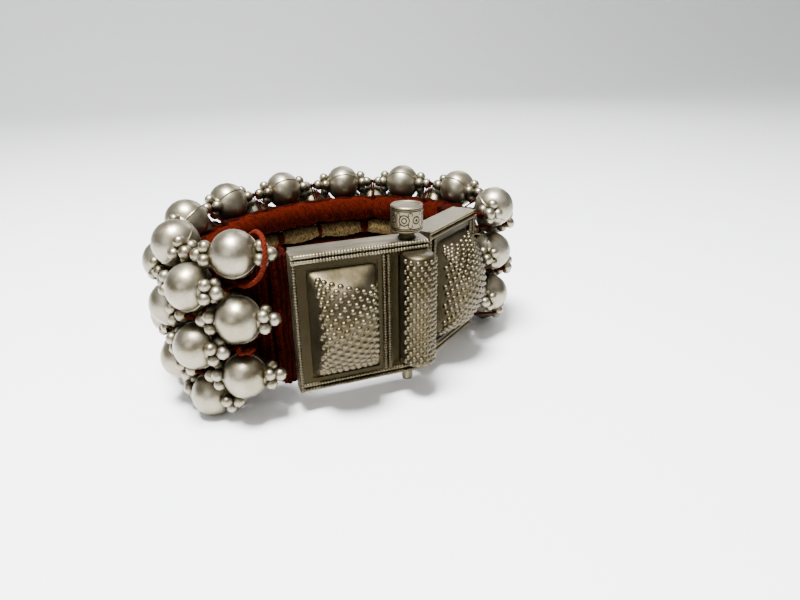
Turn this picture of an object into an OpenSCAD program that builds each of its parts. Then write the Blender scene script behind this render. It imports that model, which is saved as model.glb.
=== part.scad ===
// A wrist bracelet: rows of silver balls tied to a band of wrapped cotton cords,
// closed by two silver boxes with domed panels that a headed pin joins.
// X runs along the left box's front, Y goes back through the wrist, Z is up.

/* [Clasp boxes] */
// Height of both boxes
box_h = 30; // [29:0.5:31]
// Thickness of both boxes, front to back
box_t = 5.6; // [5.4:0.1:6]
// Width of the left box, which carries the pin's strip
left_w = 28.4; // [28.2:0.1:29]
// Width of the right box
right_w = 21.6; // [21.4:0.1:22]
// Angle that the right box is turned back
bend = 36; // [35:0.5:37]
// Height of the cushion at its middle
crown = 7; // [6:0.1:7.4]
// Width of a cushion at its foot
cushion_w = 14.4; // [13.6:0.1:14.6]
// Height of a cushion at its foot
cushion_h = 23.2; // [22:0.1:23.6]

/* [Pin] */
// Diameter of the pin's shaft
pin_d = 2.5; // [2.2:0.1:2.6]
// Diameter of the pin's head
head_d = 6.6; // [6:0.1:7]
// Height of the pin's head
head_h = 5.3; // [4.5:0.1:5.5]
// How far the pin reaches below the boxes
pin_tail = 3.6; // [2:0.1:4]

/* [Balls] */
// Diameter of a ball across its seam
ball_d = 9.5; // [9:0.1:9.6]
// Length of a ball along its row, without its grain ends
ball_len = 8.6; // [8.2:0.1:8.8]
// Height from one row of balls to the next
row_step = 6.2; // [6.1:0.05:6.3]
// Share by which the last column before the right box draws together
gather = 0.08; // [0.06:0.01:0.09]

/* [Cotton] */
// Diameter of the thick outer cords
thick_cord = 5.6; // [5.2:0.1:5.6]
// Diameter of the two inner cords
inner_cord = 4.2; // [3.8:0.1:4.2]
// Diameter of the middle cord
middle_cord = 3.8; // [3.4:0.1:3.8]
// Diameter of the thread through each row of balls
thread_d = 0.8; // [0.6:0.05:0.8]

/* [Hidden] */

silver = [0.72, 0.70, 0.66];
brick_red = [0.50, 0.14, 0.09];
khaki = [0.42, 0.36, 0.20];

// Ball and grains
ball_r = ball_d / 2;
ball_half = ball_len / 2;
seam_t = 0.35;
seam_rim = 0.22;
collar_r = 2.5;
collar_x = ball_half - 1.6;
grain_r = 1.0;
grain_ring_r = 2.05;
grain_x = ball_half + 0.95;
tip_r = 1.15;
tip_x = ball_half + 2.75;
neck_r = 0.85;
bore_r = thread_d / 2 + 0.1;

// The line that the ball centres follow, from the left box round to the right box
// Each row is an arc: radius, turn in degrees
ARC_R = 0;
ARC_TURN = 1;
arcs = [[17.5, 96.5], [37.5, 50], [49, 39], [34.5, 70.5], [11.8, 68]];
left_back = 1;
right_back = -2.2;
first_ball = 10.5;
last_ball = 7.2;
columns = 17;
rows = 6;

// How far each row of balls stands out from the line, top row first
row_out = [-2, 1, 0.5, 1.4, 0.2, -1.1];

// How far the next-to-last column is pushed out as the last one draws together
bulge = 10;
// How far each row is rolled so that its outer half looks up
row_roll = [46, 28, 12, 8, 0, -15];

// Place of the right box's front corner, from the left box's front corner
right_x = left_w + 2;
right_y = 3.8;

// The pin stands in the left box, through the right box's tongue
pin_x = 24.9;
pin_y = 2.8;
pin_gap = 0.06;
neck_h = 1.6;
neck_d = 4;
rest_gap = 0.05;
tongue_h = 10;
tongue_gap = 0.2;
tongue_t = 3.6;
slot_x = 22.2;

// Strip over the pin: a round front on straight sides
strip_x = 25.7;
strip_r = 3.3;
strip_out = 5.2;
strip_foot_z = 3.3;
strip_top_gap = 2.1;
strip_h = box_h - strip_foot_z - strip_top_gap;
strip_sunk = 0.3;

// Frame of each panel
wire_r = 0.4;
wire_step = 1.1;
channel = 0.35;
sunk = 0.5;
groove_x = 20.5;
groove_w = 1.7;

// Cushion on each panel
cushion_wall = 3.6;
cushion_lean_x = 1.2;
cushion_lean_z = 2.2;
cushion_foot_z = 3.2;
left_cushion_x = 10.1;
right_cushion_x = 11.4;
dome_grain_r = 0.55;
dome_grain_step_x = 1.62;
dome_grain_step_z = 1.95;
strip_grain_r = 0.5;
strip_grain_step_z = 2.3;
strip_facet = 15;

// Cotton
skin_gap = 0.5;
cord_gap = 0.4;
roll_r = 1.9;
roll_front = 4.9;
roll_back = 9;
roll_x = 1.4;
roll_margin = 0.8;
cord_start = 3.4;
binding_w = 0.9;
binding_t = 0.22;

// Heights: the lowest balls touch the surface
lean_low = abs(row_roll[rows - 1]);
bead_z = (ball_r + seam_rim) * cos(lean_low) + seam_t / 2 * sin(lean_low);
mid_z = bead_z + 2.5 * row_step;
box_z = mid_z - box_h / 2;

function add(v, i = 0) = i < len(v) ? v[i] + add(v, i + 1) : 0;
function add2(v, i = 0) = i < len(v) ? v[i] + add2(v, i + 1) : [0, 0];
function dir(a) = [cos(a), sin(a)];
function right_of(a) = [sin(a), -cos(a)];

// Turns made to fill the circle less the bend, and each arc's start heading
turn_sum = add([for (a = arcs) a[ARC_TURN]]);
turns = [for (a = arcs) a[ARC_TURN] * (360 - bend) / turn_sum];
function heading(i) = 180 - add([for (k = [0:1:i - 1]) turns[k]]);
function arc_step(i, r) = r * (right_of(heading(i)) - right_of(heading(i) - turns[i]));

// Straight ends, worked out so that the line meets both boxes
right_end = [right_x, right_y] + right_w * dir(bend) + right_back * dir(bend + 90);
arc_sum = add2([for (i = [0:len(arcs) - 1]) arc_step(i, arcs[i][ARC_R])]);
to_close = right_end - [0, left_back] - arc_sum;
end_straight = -to_close[1] / sin(bend);
start_straight = -to_close[0] - end_straight * cos(bend);

// Pieces of the line moved inwards: start point, heading, length, radius (0 if straight), turn
function line_pieces(inward) =
    let (
        radii = [for (a = arcs) a[ARC_R] - inward],
        start = [0, left_back + inward],
        corner = start + start_straight * dir(180),
        points = [for (i = [0:len(arcs)])
            corner + add2([for (k = [0:1:i - 1]) arc_step(k, radii[k])])]
    )
    concat(
        [[start, 180, start_straight, 0, 0]],
        [for (i = [0:len(arcs) - 1])
            [points[i], heading(i), radii[i] * turns[i] * PI / 180, radii[i], turns[i]]],
        [[points[len(arcs)], 180 + bend, end_straight, 0, 0]]
    );

bead_line = line_pieces(0);
line_length = add([for (p = bead_line) p[2]]);

// Point and heading at a distance along the bead line
function at(s, i = 0) =
    let (piece = bead_line[i])
    s > piece[2] && i < len(bead_line) - 1 ? at(s - piece[2], i + 1)
    : piece[3] == 0 ? [piece[0] + s * dir(piece[1]), piece[1]]
    : let (turned = piece[1] - s / piece[3] * 180 / PI)
        [piece[0] + piece[3] * (right_of(piece[1]) - right_of(turned)), turned];

function column_s(c) = first_ball + c * (line_length - first_ball - last_ball) / (columns - 1);
function near_end(c) = pow(max(0, c - columns + 3) / 2, 2);
function drawn(c) = 1 - gather * near_end(c);
function bead_xy(c, row) =
    let (spot = at(column_s(c)))
        spot[0] - (row_out[row] + bulge * near_end(c)) * (1 - near_end(c)) * right_of(spot[1]);
function bead_height(c, row) = mid_z + (2.5 - row) * row_step * drawn(c);
function bead_heading(c) = at(column_s(c))[1];
function row_columns(row) = [row % 2:2:columns - 1];
function bead_point(c, row) =
    let (p = bead_xy(c, row)) [p[0], p[1], bead_height(c, row)];

// The bracelet's middle, so that it stands over the origin
all_xy = [for (row = [0:rows - 1]) for (c = row_columns(row)) bead_xy(c, row)];
mid_x = (min([for (p = all_xy) p[0]]) + max([for (p = all_xy) p[0]])) / 2;
mid_y = (max([for (p = all_xy) p[1]]) + ball_r - crown - dome_grain_r) / 2;

module in_place() {
    translate([-mid_x, -mid_y, 0]) children();
}

module rod(from, to, r, sides = 24) {
    d = to - from;
    flat = norm([d[0], d[1]]);
    translate(from) rotate([0, atan2(flat, d[2]), atan2(d[1], d[0])])
        cylinder(h = norm(d), r = r, $fn = sides);
}

// Ball with its axis along X, its seam in the XZ plane and a grain cluster at each end
module ball_profile(extra) {
    flat = ball_r - ball_half;
    translate([flat, 0]) circle(r = ball_half + extra, $fn = 64);
    translate([0, -ball_half - extra]) square([flat, 2 * (ball_half + extra)]);
}

module ball_body() {
    rotate([0, 90, 0]) rotate_extrude($fn = 64) intersection() {
        ball_profile(0);
        translate([0, -ball_d]) square([ball_d, 2 * ball_d]);
    }
}

module ball_seam() {
    rotate([90, 90, 0]) linear_extrude(seam_t, center = true) {
        ball_profile(seam_rim);
        mirror([1, 0]) ball_profile(seam_rim);
    }
}

module grain_cluster() {
    rotate([0, 90, 0]) {
        translate([0, 0, collar_x]) sphere(r = collar_r, $fn = 48);
        cylinder(h = tip_x, r = neck_r, $fn = 32);
        for (a = [-60, 60, 180])
            rotate([0, 0, a]) translate([0, grain_ring_r, grain_x]) sphere(r = grain_r, $fn = 24);
        translate([0, 0, tip_x]) sphere(r = tip_r, $fn = 24);
    }
}

module bead() {
    difference() {
        union() {
            ball_body();
            ball_seam();
            grain_cluster();
            mirror([1, 0, 0]) grain_cluster();
        }
        rotate([0, 90, 0]) cylinder(h = 3 * ball_d, r = bore_r, center = true, $fn = 24);
    }
}

module bead_row(row) {
    color(silver) in_place() for (c = row_columns(row))
        translate(bead_point(c, row)) rotate([0, 0, bead_heading(c)])
            rotate([row_roll[row], 0, 0]) bead();
}

// Thread of one row: straight through each ball, bent between them. A last ball that
// reaches over the right box's end keeps the thread's end.
function through(c, row, side) =
    let (h = bead_heading(c), p = bead_point(c, row), reach = side * (tip_x + tip_r + 0.1))
    [p[0] + reach * cos(h), p[1] + reach * sin(h), p[2]];
function roll_spot(x, y, z) =
    [x, y, min(max(z, box_z + 2 * roll_margin), box_z + box_h - 2 * roll_margin)];
tie_front = roll_front - roll_r - thread_d;
function left_tie(z) = roll_spot(-roll_x, tie_front, z);
function right_tie(z) =
    let (
        u = right_w + roll_x,
        p = [right_x, right_y] + u * dir(bend) + tie_front * dir(bend + 90)
    )
    roll_spot(p[0], p[1], z);
function thread_points(row) =
    let (
        first = row % 2,
        last = columns - 1 - row % 2
    )
    concat(
        [left_tie(bead_height(first, row))],
        [for (c = row_columns(row)) for (side = [-1, 1]) through(c, row, side)],
        last == columns - 1 ? [] : [right_tie(bead_height(last, row))]
    );

// Ring of corners of a tube at a point, square to the level line that halves the bend there
tube_sides = 10;
function level(d) = atan2(d[1], d[0]);
function ring(p, before, after, r) =
    let (
        a = level(before),
        half = (level(after) - a + 540) % 360 - 180,
        m = a + half / 2,
        wide = r / cos(half / 2)
    )
    [for (k = [0:tube_sides - 1]) let (t = k * 360 / tube_sides)
        p + [wide * cos(t) * -sin(m), wide * cos(t) * cos(m), r * sin(t)]];

module row_thread(row) {
    points = thread_points(row);
    last = len(points) - 1;
    corners = [for (i = [0:last]) each ring(
        points[i],
        points[max(i, 1)] - points[max(i, 1) - 1],
        points[min(i, last - 1) + 1] - points[min(i, last - 1)],
        thread_d / 2
    )];
    sides = [for (i = [0:last - 1]) for (k = [0:tube_sides - 1]) let (
        a = i * tube_sides + k,
        b = i * tube_sides + (k + 1) % tube_sides
    ) each [[a, b, a + tube_sides], [b, b + tube_sides, a + tube_sides]]];
    start_cap = [for (k = [tube_sides - 1:-1:0]) k];
    end_cap = [for (k = [0:tube_sides - 1]) last * tube_sides + k];
    color(brick_red) in_place() polyhedron(corners, concat([start_cap, end_cap], sides));
}

// Wrapped cord that follows the bead line on its inner side
module cord(d, z, tint) {
    pieces = line_pieces(ball_r + skin_gap + d / 2);
    last = len(pieces) - 1;
    color(tint) in_place() translate([0, 0, z]) for (i = [0:last]) {
        piece = pieces[i];
        cut = i == 0 || i == last ? cord_start : 0;
        start = piece[0] + (i == 0 ? cord_start : 0) * dir(180);
        short = binding_w / 6 / max(piece[3], 1) * 180 / PI;
        translate(start) rotate([0, 0, piece[1]]) {
            if (piece[3] == 0) rotate([0, 90, 0]) cylinder(h = piece[2] - cut, d = d, $fn = 48);
            else translate([0, -piece[3], 0]) rotate([0, 0, 90 - piece[4] + short])
                rotate_extrude(angle = piece[4] - 2 * short, $fn = 96)
                    translate([piece[3], 0]) circle(d = d, $fn = 48);
            if (i > 0) rotate([0, 90, 0]) rotate([0, 0, 15])
                cylinder(h = binding_w, d = d + 2 * binding_t, center = true, $fn = 12);
        }
    }
}

// Cords sit on each other about the middle one
upper_z = mid_z + middle_cord / 2 + cord_gap + inner_cord / 2;
top_z = upper_z + inner_cord / 2 + cord_gap + thick_cord / 2;

// Flattened upright roll of cotton that gathers the cords at a box's end
module end_roll() {
    translate([-roll_x, 0, box_z + roll_margin]) linear_extrude(box_h - 2 * roll_margin) {
        translate([0, roll_front]) circle(r = roll_r, $fn = 48);
        translate([0, roll_back]) circle(r = roll_r, $fn = 48);
        translate([-roll_r, roll_front]) square([2 * roll_r, roll_back - roll_front]);
    }
}

module at_right_box() {
    translate([right_x, right_y, 0]) rotate([0, 0, bend]) children();
}

module at_right_end() {
    at_right_box() translate([right_w, 0, 0]) mirror([1, 0, 0]) children();
}

// Cushion: a ball's cap cut by four leaning walls, on a sunk field
module cushion_walls() {
    half_w = cushion_w / 2;
    half_h = cushion_h / 2;
    reach = 2 * crown;
    lean_x = cushion_lean_x / cushion_wall * reach;
    lean_z = cushion_lean_z / cushion_wall * reach;
    intersection() {
        translate([0, 0, -half_h]) linear_extrude(cushion_h)
            polygon([[-half_w, sunk], [half_w, sunk], [half_w - lean_x, -reach], [lean_x - half_w, -reach]]);
        translate([-half_w, 0, 0]) rotate([90, 0, 90]) linear_extrude(cushion_w)
            polygon([[sunk, -half_h], [sunk, half_h], [-reach, half_h - lean_z], [-reach, lean_z - half_h]]);
    }
}

cap_half = cushion_h / 2 - cushion_lean_z;
cap_rise = crown - cushion_wall;
cap_r = (cap_half * cap_half + cap_rise * cap_rise) / (2 * cap_rise);

module cushion() {
    intersection() {
        cushion_walls();
        translate([0, cap_r - crown, 0]) sphere(r = cap_r, $fn = 96);
    }
}

// Grain of a panel, turned so that its poles stand clear of the face under it
module grain(r) {
    rotate([90, 0, 0]) sphere(r = r, $fn = 16);
}

module cushion_grains() {
    nx = floor((cushion_w / 2 - cushion_lean_x - dome_grain_r) / dome_grain_step_x * 2);
    nz = floor((cap_half - dome_grain_r) / dome_grain_step_z * 2);
    for (i = [-nx:nx]) for (k = [-nz:nz]) if ((i + k) % 2 == 0) {
        x = i * dome_grain_step_x / 2;
        z = k * dome_grain_step_z / 2;
        y = cap_r - crown - sqrt(cap_r * cap_r - x * x - z * z);
        translate([x, y, z]) grain(dome_grain_r);
    }
}

module panel_cushion(x) {
    translate([x, 0, cushion_foot_z + cushion_h / 2]) {
        cushion();
        cushion_grains();
    }
}

// Sunk field that a cushion stands in
module panel_field(x) {
    margin = 0.6;
    translate([x - cushion_w / 2 - margin, -1, cushion_foot_z - margin])
        cube([cushion_w + 2 * margin, 1 + sunk, cushion_h + 2 * margin]);
}

// Pair of wires along an edge
module edge_wires(z, to) {
    for (k = [0, 1]) rod([0, 0, z + k * wire_step], [to, 0, z + k * wire_step], wire_r);
}

module upright_wires(places, from, to) {
    for (x = places) rod([x, 0, from], [x, 0, to], wire_r);
}

module box_block(w) {
    cube([w, box_t, box_h]);
}

// Half-round front of flat facets, each one under a column of grains
module pin_strip() {
    facets = floor(82.5 / strip_facet);
    corner_r = strip_r / cos(strip_facet / 2);
    front = [for (i = [-facets - 1:facets]) let (a = (i + 0.5) * strip_facet)
        [corner_r * sin(a), strip_r - strip_out - corner_r * cos(a)]];
    translate([strip_x, 0, strip_foot_z]) linear_extrude(strip_h)
        polygon(concat([[-strip_r, strip_sunk]], front, [[strip_r, strip_sunk]]));
}

module strip_grains() {
    facets = floor(82.5 / strip_facet);
    nz = floor((strip_h - 3 * strip_grain_r) / strip_grain_step_z * 2);
    for (i = [-facets:facets]) for (k = [0:nz]) if ((i + k) % 2 == 0)
        translate([strip_x, strip_r - strip_out, strip_foot_z + 1.6 * strip_grain_r])
            rotate([0, 0, i * strip_facet]) translate([0, -strip_r, k * strip_grain_step_z / 2])
                grain(strip_grain_r);
}

// Left box: panel, cushion, strip, a slot for the tongue and the pin's bore
module clasp_left() {
    inset = 2 * wire_r + wire_step;
    color(silver) in_place() translate([0, 0, box_z]) difference() {
        union() {
            difference() {
                box_block(left_w);
                panel_field(left_cushion_x);
                translate([groove_x, -1, inset]) cube([groove_w, 1 + channel, box_h - 2 * inset]);
            }
            edge_wires(wire_r, left_w);
            edge_wires(box_h - wire_r - wire_step, left_w);
            upright_wires([wire_r], 0, box_h);
            upright_wires([18.75, 19.75], inset, box_h - inset);
            panel_cushion(left_cushion_x);
            pin_strip();
            strip_grains();
        }
        translate([slot_x, 0.6, box_h / 2 - tongue_h / 2]) cube([left_w, box_t, tongue_h]);
        translate([pin_x, pin_y, -1]) cylinder(h = box_h + 2, r = pin_d / 2 + pin_gap, $fn = 48);
        translate([0, 0, -box_z]) roll_seat();
    }
}

// Space that the roll takes out of a box's end, with a little room round it
module roll_seat() {
    translate([-roll_x, roll_front, 0]) linear_extrude(box_z + 2 * box_h)
        circle(r = roll_r + 0.1, $fn = 48);
    translate([-roll_x - roll_r, roll_front, 0])
        cube([2 * roll_r + 0.1, box_t, box_z + 2 * box_h]);
}

// Right box: panel, cushion and the tongue whose eye the pin passes through
module clasp_right() {
    inset = 2 * wire_r + wire_step;
    clear = tongue_h - 2 * tongue_gap;
    color(silver) in_place() difference() {
        union() {
            at_right_box() translate([0, 0, box_z]) {
                difference() {
                    box_block(right_w);
                    panel_field(right_cushion_x);
                }
                edge_wires(wire_r, right_w);
                edge_wires(box_h - wire_r - wire_step, right_w);
                upright_wires([wire_r, right_w - wire_r], 0, box_h);
                upright_wires([2.4, right_w - 2.4], inset, box_h - inset);
                panel_cushion(right_cushion_x);
            }
            tongue(clear);
        }
        translate([pin_x, pin_y, 0]) cylinder(h = 3 * box_h, r = pin_d / 2 + pin_gap, $fn = 48);
        at_right_end() roll_seat();
    }
}

module tongue(h) {
    root = [right_x, right_y] + box_t / 2 * dir(bend + 90) + dir(bend);
    away = root - [pin_x, pin_y];
    translate([pin_x, pin_y, mid_z - h / 2]) {
        cylinder(h = h, d = tongue_t, $fn = 48);
        rotate([0, 0, atan2(away[1], away[0])]) translate([0, -tongue_t / 2, 0])
            cube([norm(away), tongue_t, h]);
    }
}

// Pin: drum head with a fine rim, a neck that stands on the box, and a shaft
module clasp_pin() {
    rim_h = 0.5;
    neck_z = box_z + box_h + rest_gap;
    head_z = neck_z + neck_h;
    color(silver) in_place() translate([pin_x, pin_y, 0]) {
        translate([0, 0, box_z - pin_tail]) cylinder(h = neck_z - box_z + pin_tail, d = pin_d, $fn = 48);
        translate([0, 0, neck_z]) cylinder(h = neck_h, d = neck_d, $fn = 48);
        difference() {
            translate([0, 0, head_z]) cylinder(h = head_h, d = head_d, $fn = 64);
            translate([0, 0, head_z + head_h - 0.2]) cylinder(h = 1, d = head_d - 2 * rim_h, $fn = 64);
        }
    }
}

clasp_left();
clasp_right();
clasp_pin();
color(brick_red) in_place() end_roll();  // end_roll_left
color(brick_red) in_place() at_right_end() end_roll();  // end_roll_right
bead_row(0);  // bead_row_1
bead_row(1);  // bead_row_2
bead_row(2);  // bead_row_3
bead_row(3);  // bead_row_4
bead_row(4);  // bead_row_5
bead_row(5);  // bead_row_6
row_thread(0);  // row_thread_1
row_thread(1);  // row_thread_2
row_thread(2);  // row_thread_3
row_thread(3);  // row_thread_4
row_thread(4);  // row_thread_5
row_thread(5);  // row_thread_6
cord(thick_cord, top_z, brick_red);  // cord_top
cord(inner_cord, upper_z, khaki);  // cord_upper
cord(middle_cord, mid_z, brick_red);  // cord_middle
cord(inner_cord, 2 * mid_z - upper_z, khaki);  // cord_lower
cord(thick_cord, 2 * mid_z - top_z, brick_red);  // cord_bottom
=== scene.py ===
"""Dresses a packed silver bracelet: silver balls on wound cotton, with a pin-closed clasp.

Sizes are in millimetres inside the helpers and become metres when a mesh is made.
The clasp's own frame starts at the left box's front corner: X along its front, Y into the
wrist, Z up from the surface.
"""

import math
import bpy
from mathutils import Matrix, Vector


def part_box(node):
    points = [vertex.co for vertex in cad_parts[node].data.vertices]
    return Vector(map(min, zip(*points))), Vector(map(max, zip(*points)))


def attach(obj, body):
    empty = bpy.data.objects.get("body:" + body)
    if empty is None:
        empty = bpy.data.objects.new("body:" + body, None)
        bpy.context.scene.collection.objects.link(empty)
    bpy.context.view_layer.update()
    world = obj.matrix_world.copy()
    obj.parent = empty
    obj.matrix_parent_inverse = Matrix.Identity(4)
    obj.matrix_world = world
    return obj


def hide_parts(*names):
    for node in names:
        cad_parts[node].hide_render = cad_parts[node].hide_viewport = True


bl_info = {
    "name": "Silver Ball Bracelet",
    "version": (1, 0, 0),
    "blender": (4, 5, 0),
    "location": "3D View > Sidebar > Bracelet",
    "description": "Makes the silver, the wound cotton and the stage of a ball bracelet with a pin clasp",
    "category": "Add Mesh",
}

import bmesh
import bpy
import numpy as np
from bpy.props import FloatProperty, FloatVectorProperty, IntProperty, PointerProperty
from bpy.types import Operator, Panel, PropertyGroup
from mathutils import Matrix, Vector

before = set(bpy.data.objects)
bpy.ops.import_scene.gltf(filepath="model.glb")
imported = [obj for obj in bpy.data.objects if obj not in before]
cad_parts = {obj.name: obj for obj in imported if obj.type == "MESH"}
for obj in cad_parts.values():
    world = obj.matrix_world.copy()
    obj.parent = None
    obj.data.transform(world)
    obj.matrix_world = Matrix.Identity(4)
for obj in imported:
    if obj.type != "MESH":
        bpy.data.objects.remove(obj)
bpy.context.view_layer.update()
LEFT_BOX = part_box("clasp_left")
PIN_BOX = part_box("clasp_pin")

MM = 0.001
BALL_ROWS = ["bead_row_%d" % row for row in range(1, 7)]
ROW_THREADS = ["row_thread_%d" % row for row in range(1, 7)]


# Sizes and colours

def length_property(name, description, millimetres):
    return FloatProperty(
        name=name, description=description, default=millimetres * MM,
        min=0.0, precision=5, unit="LENGTH", subtype="DISTANCE",
    )


def colour_property(name, description, colour):
    return FloatVectorProperty(
        name=name, description=description, default=colour,
        size=3, min=0.0, max=1.0, subtype="COLOR",
    )


class BraceletSizes(PropertyGroup):
    """Sizes of the balls, the cotton and the clasp."""

    box_height: length_property(
        "Box height", "Height of both clasp boxes", (LEFT_BOX[1].z - LEFT_BOX[0].z) / MM)
    ball_width: length_property("Ball width", "Diameter of a ball across its seam", 9.5)
    ball_length: length_property("Ball length", "Length of a ball along its row", 8.6)
    row_step: length_property("Row step", "Height from one row of balls to the next", 6.2)
    thick_cord: length_property("Thick cord", "Diameter of the outer cords", 5.6)
    inner_cord: length_property("Inner cord", "Diameter of the two inner cords", 4.2)
    middle_cord: length_property("Middle cord", "Diameter of the middle cord", 3.8)
    thread: length_property("Thread", "Diameter of the thread through the balls", 0.8)
    yarn_pitch: length_property("Yarn pitch", "Width of one turn of the wound thread", 0.62)
    bead_pitch: length_property("Wire pitch", "Length of one bead of the edge wires", 0.62)
    barrel: length_property("Barrel", "Length between two bindings of an inner cord", 12.0)
    crown: length_property("Crown", "Height of a cushion at its middle", 7.0)
    pin_head: length_property("Pin head", "Diameter of the pin's head", 6.6)


class BraceletColours(PropertyGroup):
    """Colours of the silver, the cotton and the stage."""

    silver: colour_property("Silver", "Rubbed silver on the high places", (0.39, 0.358, 0.282))
    tarnish: colour_property("Tarnish", "Dark skin in the recesses", (0.058, 0.048, 0.019))
    brick_red: colour_property("Brick red", "Cotton of the outer cords", (0.043, 0.0034, 0.0005))
    dark_red: colour_property("Dark red", "Worn and shaded red cotton", (0.013, 0.0010, 0.0002))
    khaki: colour_property("Khaki", "Cotton of the inner cords", (0.142, 0.097, 0.039))
    dark_khaki: colour_property("Dark khaki", "Shaded khaki cotton", (0.034, 0.020, 0.007))
    floor: colour_property("Floor", "Pale floor and backdrop", (0.90, 0.91, 0.92))


class StageSettings(PropertyGroup):
    """Lights of the stage."""

    key_power: FloatProperty(
        name="Key light", description="Power of the overhead light in watts",
        default=13.0, min=0.0, unit="POWER")
    fill_power: FloatProperty(
        name="Fill light", description="Power of the front light in watts",
        default=0.9, min=0.0, unit="POWER")
    sky_strength: FloatProperty(
        name="Room light", description="Strength of the light from the room",
        default=1.05, min=0.0)
    lens: IntProperty(name="Lens", description="Focal length in millimetres", default=27, min=10)


def millimetres(value):
    return value / MM


# Line of the balls, in millimetres and degrees

CLASP_BEND = 36.0
LEFT_WIDTH = 28.4
RIGHT_WIDTH = 21.6
BOX_DEPTH = 5.6
RIGHT_CORNER = np.array((LEFT_WIDTH + 2.0, 3.8))
# Depth of the band's two ends behind the boxes' front faces
LEFT_BACK = 1.0
RIGHT_BACK = -2.2
# From the boxes' ends to the first and the last column of balls
FIRST_BALL = 10.5
LAST_BALL = 7.2
COLUMNS = 17
ROWS = 6
MIDDLE_ROW = (ROWS - 1) / 2
# Each row's distance outside the line and the roll of its balls, from the top row down
ROW_OUT = (-2.0, 1.0, 0.5, 1.4, 0.2, -1.1)
ROW_ROLL = (46.0, 28.0, 12.0, 8.0, 0.0, -15.0)
# How far the rows close up and stand out towards the last column
GATHER = 0.08
BULGE = 10.0
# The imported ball's seam band
SEAM_RIM = 0.22
SEAM_WIDTH = 0.35
# From a ball's end to the tip of its grains
TIP_REACH = 2.75
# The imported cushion's grain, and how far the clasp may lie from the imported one
PACKED_GRAIN = 0.55
DRIFT_LIMIT = 0.3
# From the balls to the cords, from cord to cord, and from the line's ends to the cords' ends
SKIN_GAP = 0.5
CORD_GAP = 0.4
CORD_START = 3.4
# Radius and turn of each arc
ARCS = ((17.5, 96.5), (37.5, 50.0), (49.0, 39.0), (34.5, 70.5), (11.8, 68.0))


def towards(angle):
    turned = math.radians(angle)
    return np.array((math.cos(turned), math.sin(turned)))


def right_of(angle):
    turned = math.radians(angle)
    return np.array((math.sin(turned), -math.cos(turned)))


def lifted(flat, height):
    """Point at a height over a place in the plan."""
    return np.array((flat[0], flat[1], height))


def circle(sides):
    """Angles of points evenly spaced round a circle."""
    return np.arange(sides) * 2 * math.pi / sides


def arc(centre, radius, first, last, count):
    """Points of an arc in a plane, from its first angle to its last."""
    turn = np.linspace(first, last, count)
    return centre + radius * np.stack((np.cos(turn), np.sin(turn)), axis=-1)


class BandLine:
    """The balls' line, or one moved inwards from it: a straight, five arcs and a straight."""

    def __init__(self, inward=0.0):
        total = sum(turn for radius, turn in ARCS)
        turns = [turn * (360.0 - CLASP_BEND) / total for radius, turn in ARCS]
        headings = [180.0 - sum(turns[:i]) for i in range(len(turns))]

        def arc_step(i, radius):
            return radius * (right_of(headings[i]) - right_of(headings[i] - turns[i]))

        end = RIGHT_CORNER + RIGHT_WIDTH * towards(CLASP_BEND)
        end = end + RIGHT_BACK * towards(CLASP_BEND + 90.0)
        closing = end - np.array((0.0, LEFT_BACK))
        closing = closing - sum(arc_step(i, arc[0]) for i, arc in enumerate(ARCS))
        last_straight = -closing[1] / math.sin(math.radians(CLASP_BEND))
        first_straight = -closing[0] - last_straight * math.cos(math.radians(CLASP_BEND))
        start = np.array((0.0, LEFT_BACK + inward))
        self.pieces = [(start, 180.0, first_straight, 0.0)]
        corner = start + first_straight * towards(180.0)
        for i, (radius, turn) in enumerate(ARCS):
            inner = radius - inward
            self.pieces.append((corner, headings[i], inner * math.radians(turns[i]), inner))
            corner = corner + arc_step(i, inner)
        self.pieces.append((corner, 180.0 + CLASP_BEND, last_straight, 0.0))
        self.length = sum(piece[2] for piece in self.pieces)

    def at(self, distance):
        """Point and heading at a distance along the line."""
        for start, heading, length, radius in self.pieces:
            if distance <= length:
                break
            distance -= length
        else:
            distance += length
        if radius == 0.0:
            return start + distance * towards(heading), heading
        turned = heading - math.degrees(distance / radius)
        return start + radius * (right_of(heading) - right_of(turned)), turned

    def matching(self, distance, other):
        """Distance along this line beside the given distance along another."""
        passed = 0.0
        for mine, theirs in zip(self.pieces, other.pieces):
            if distance <= theirs[2]:
                return passed + mine[2] * distance / theirs[2]
            distance -= theirs[2]
            passed += mine[2]
        return passed


BAND = BandLine()


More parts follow.
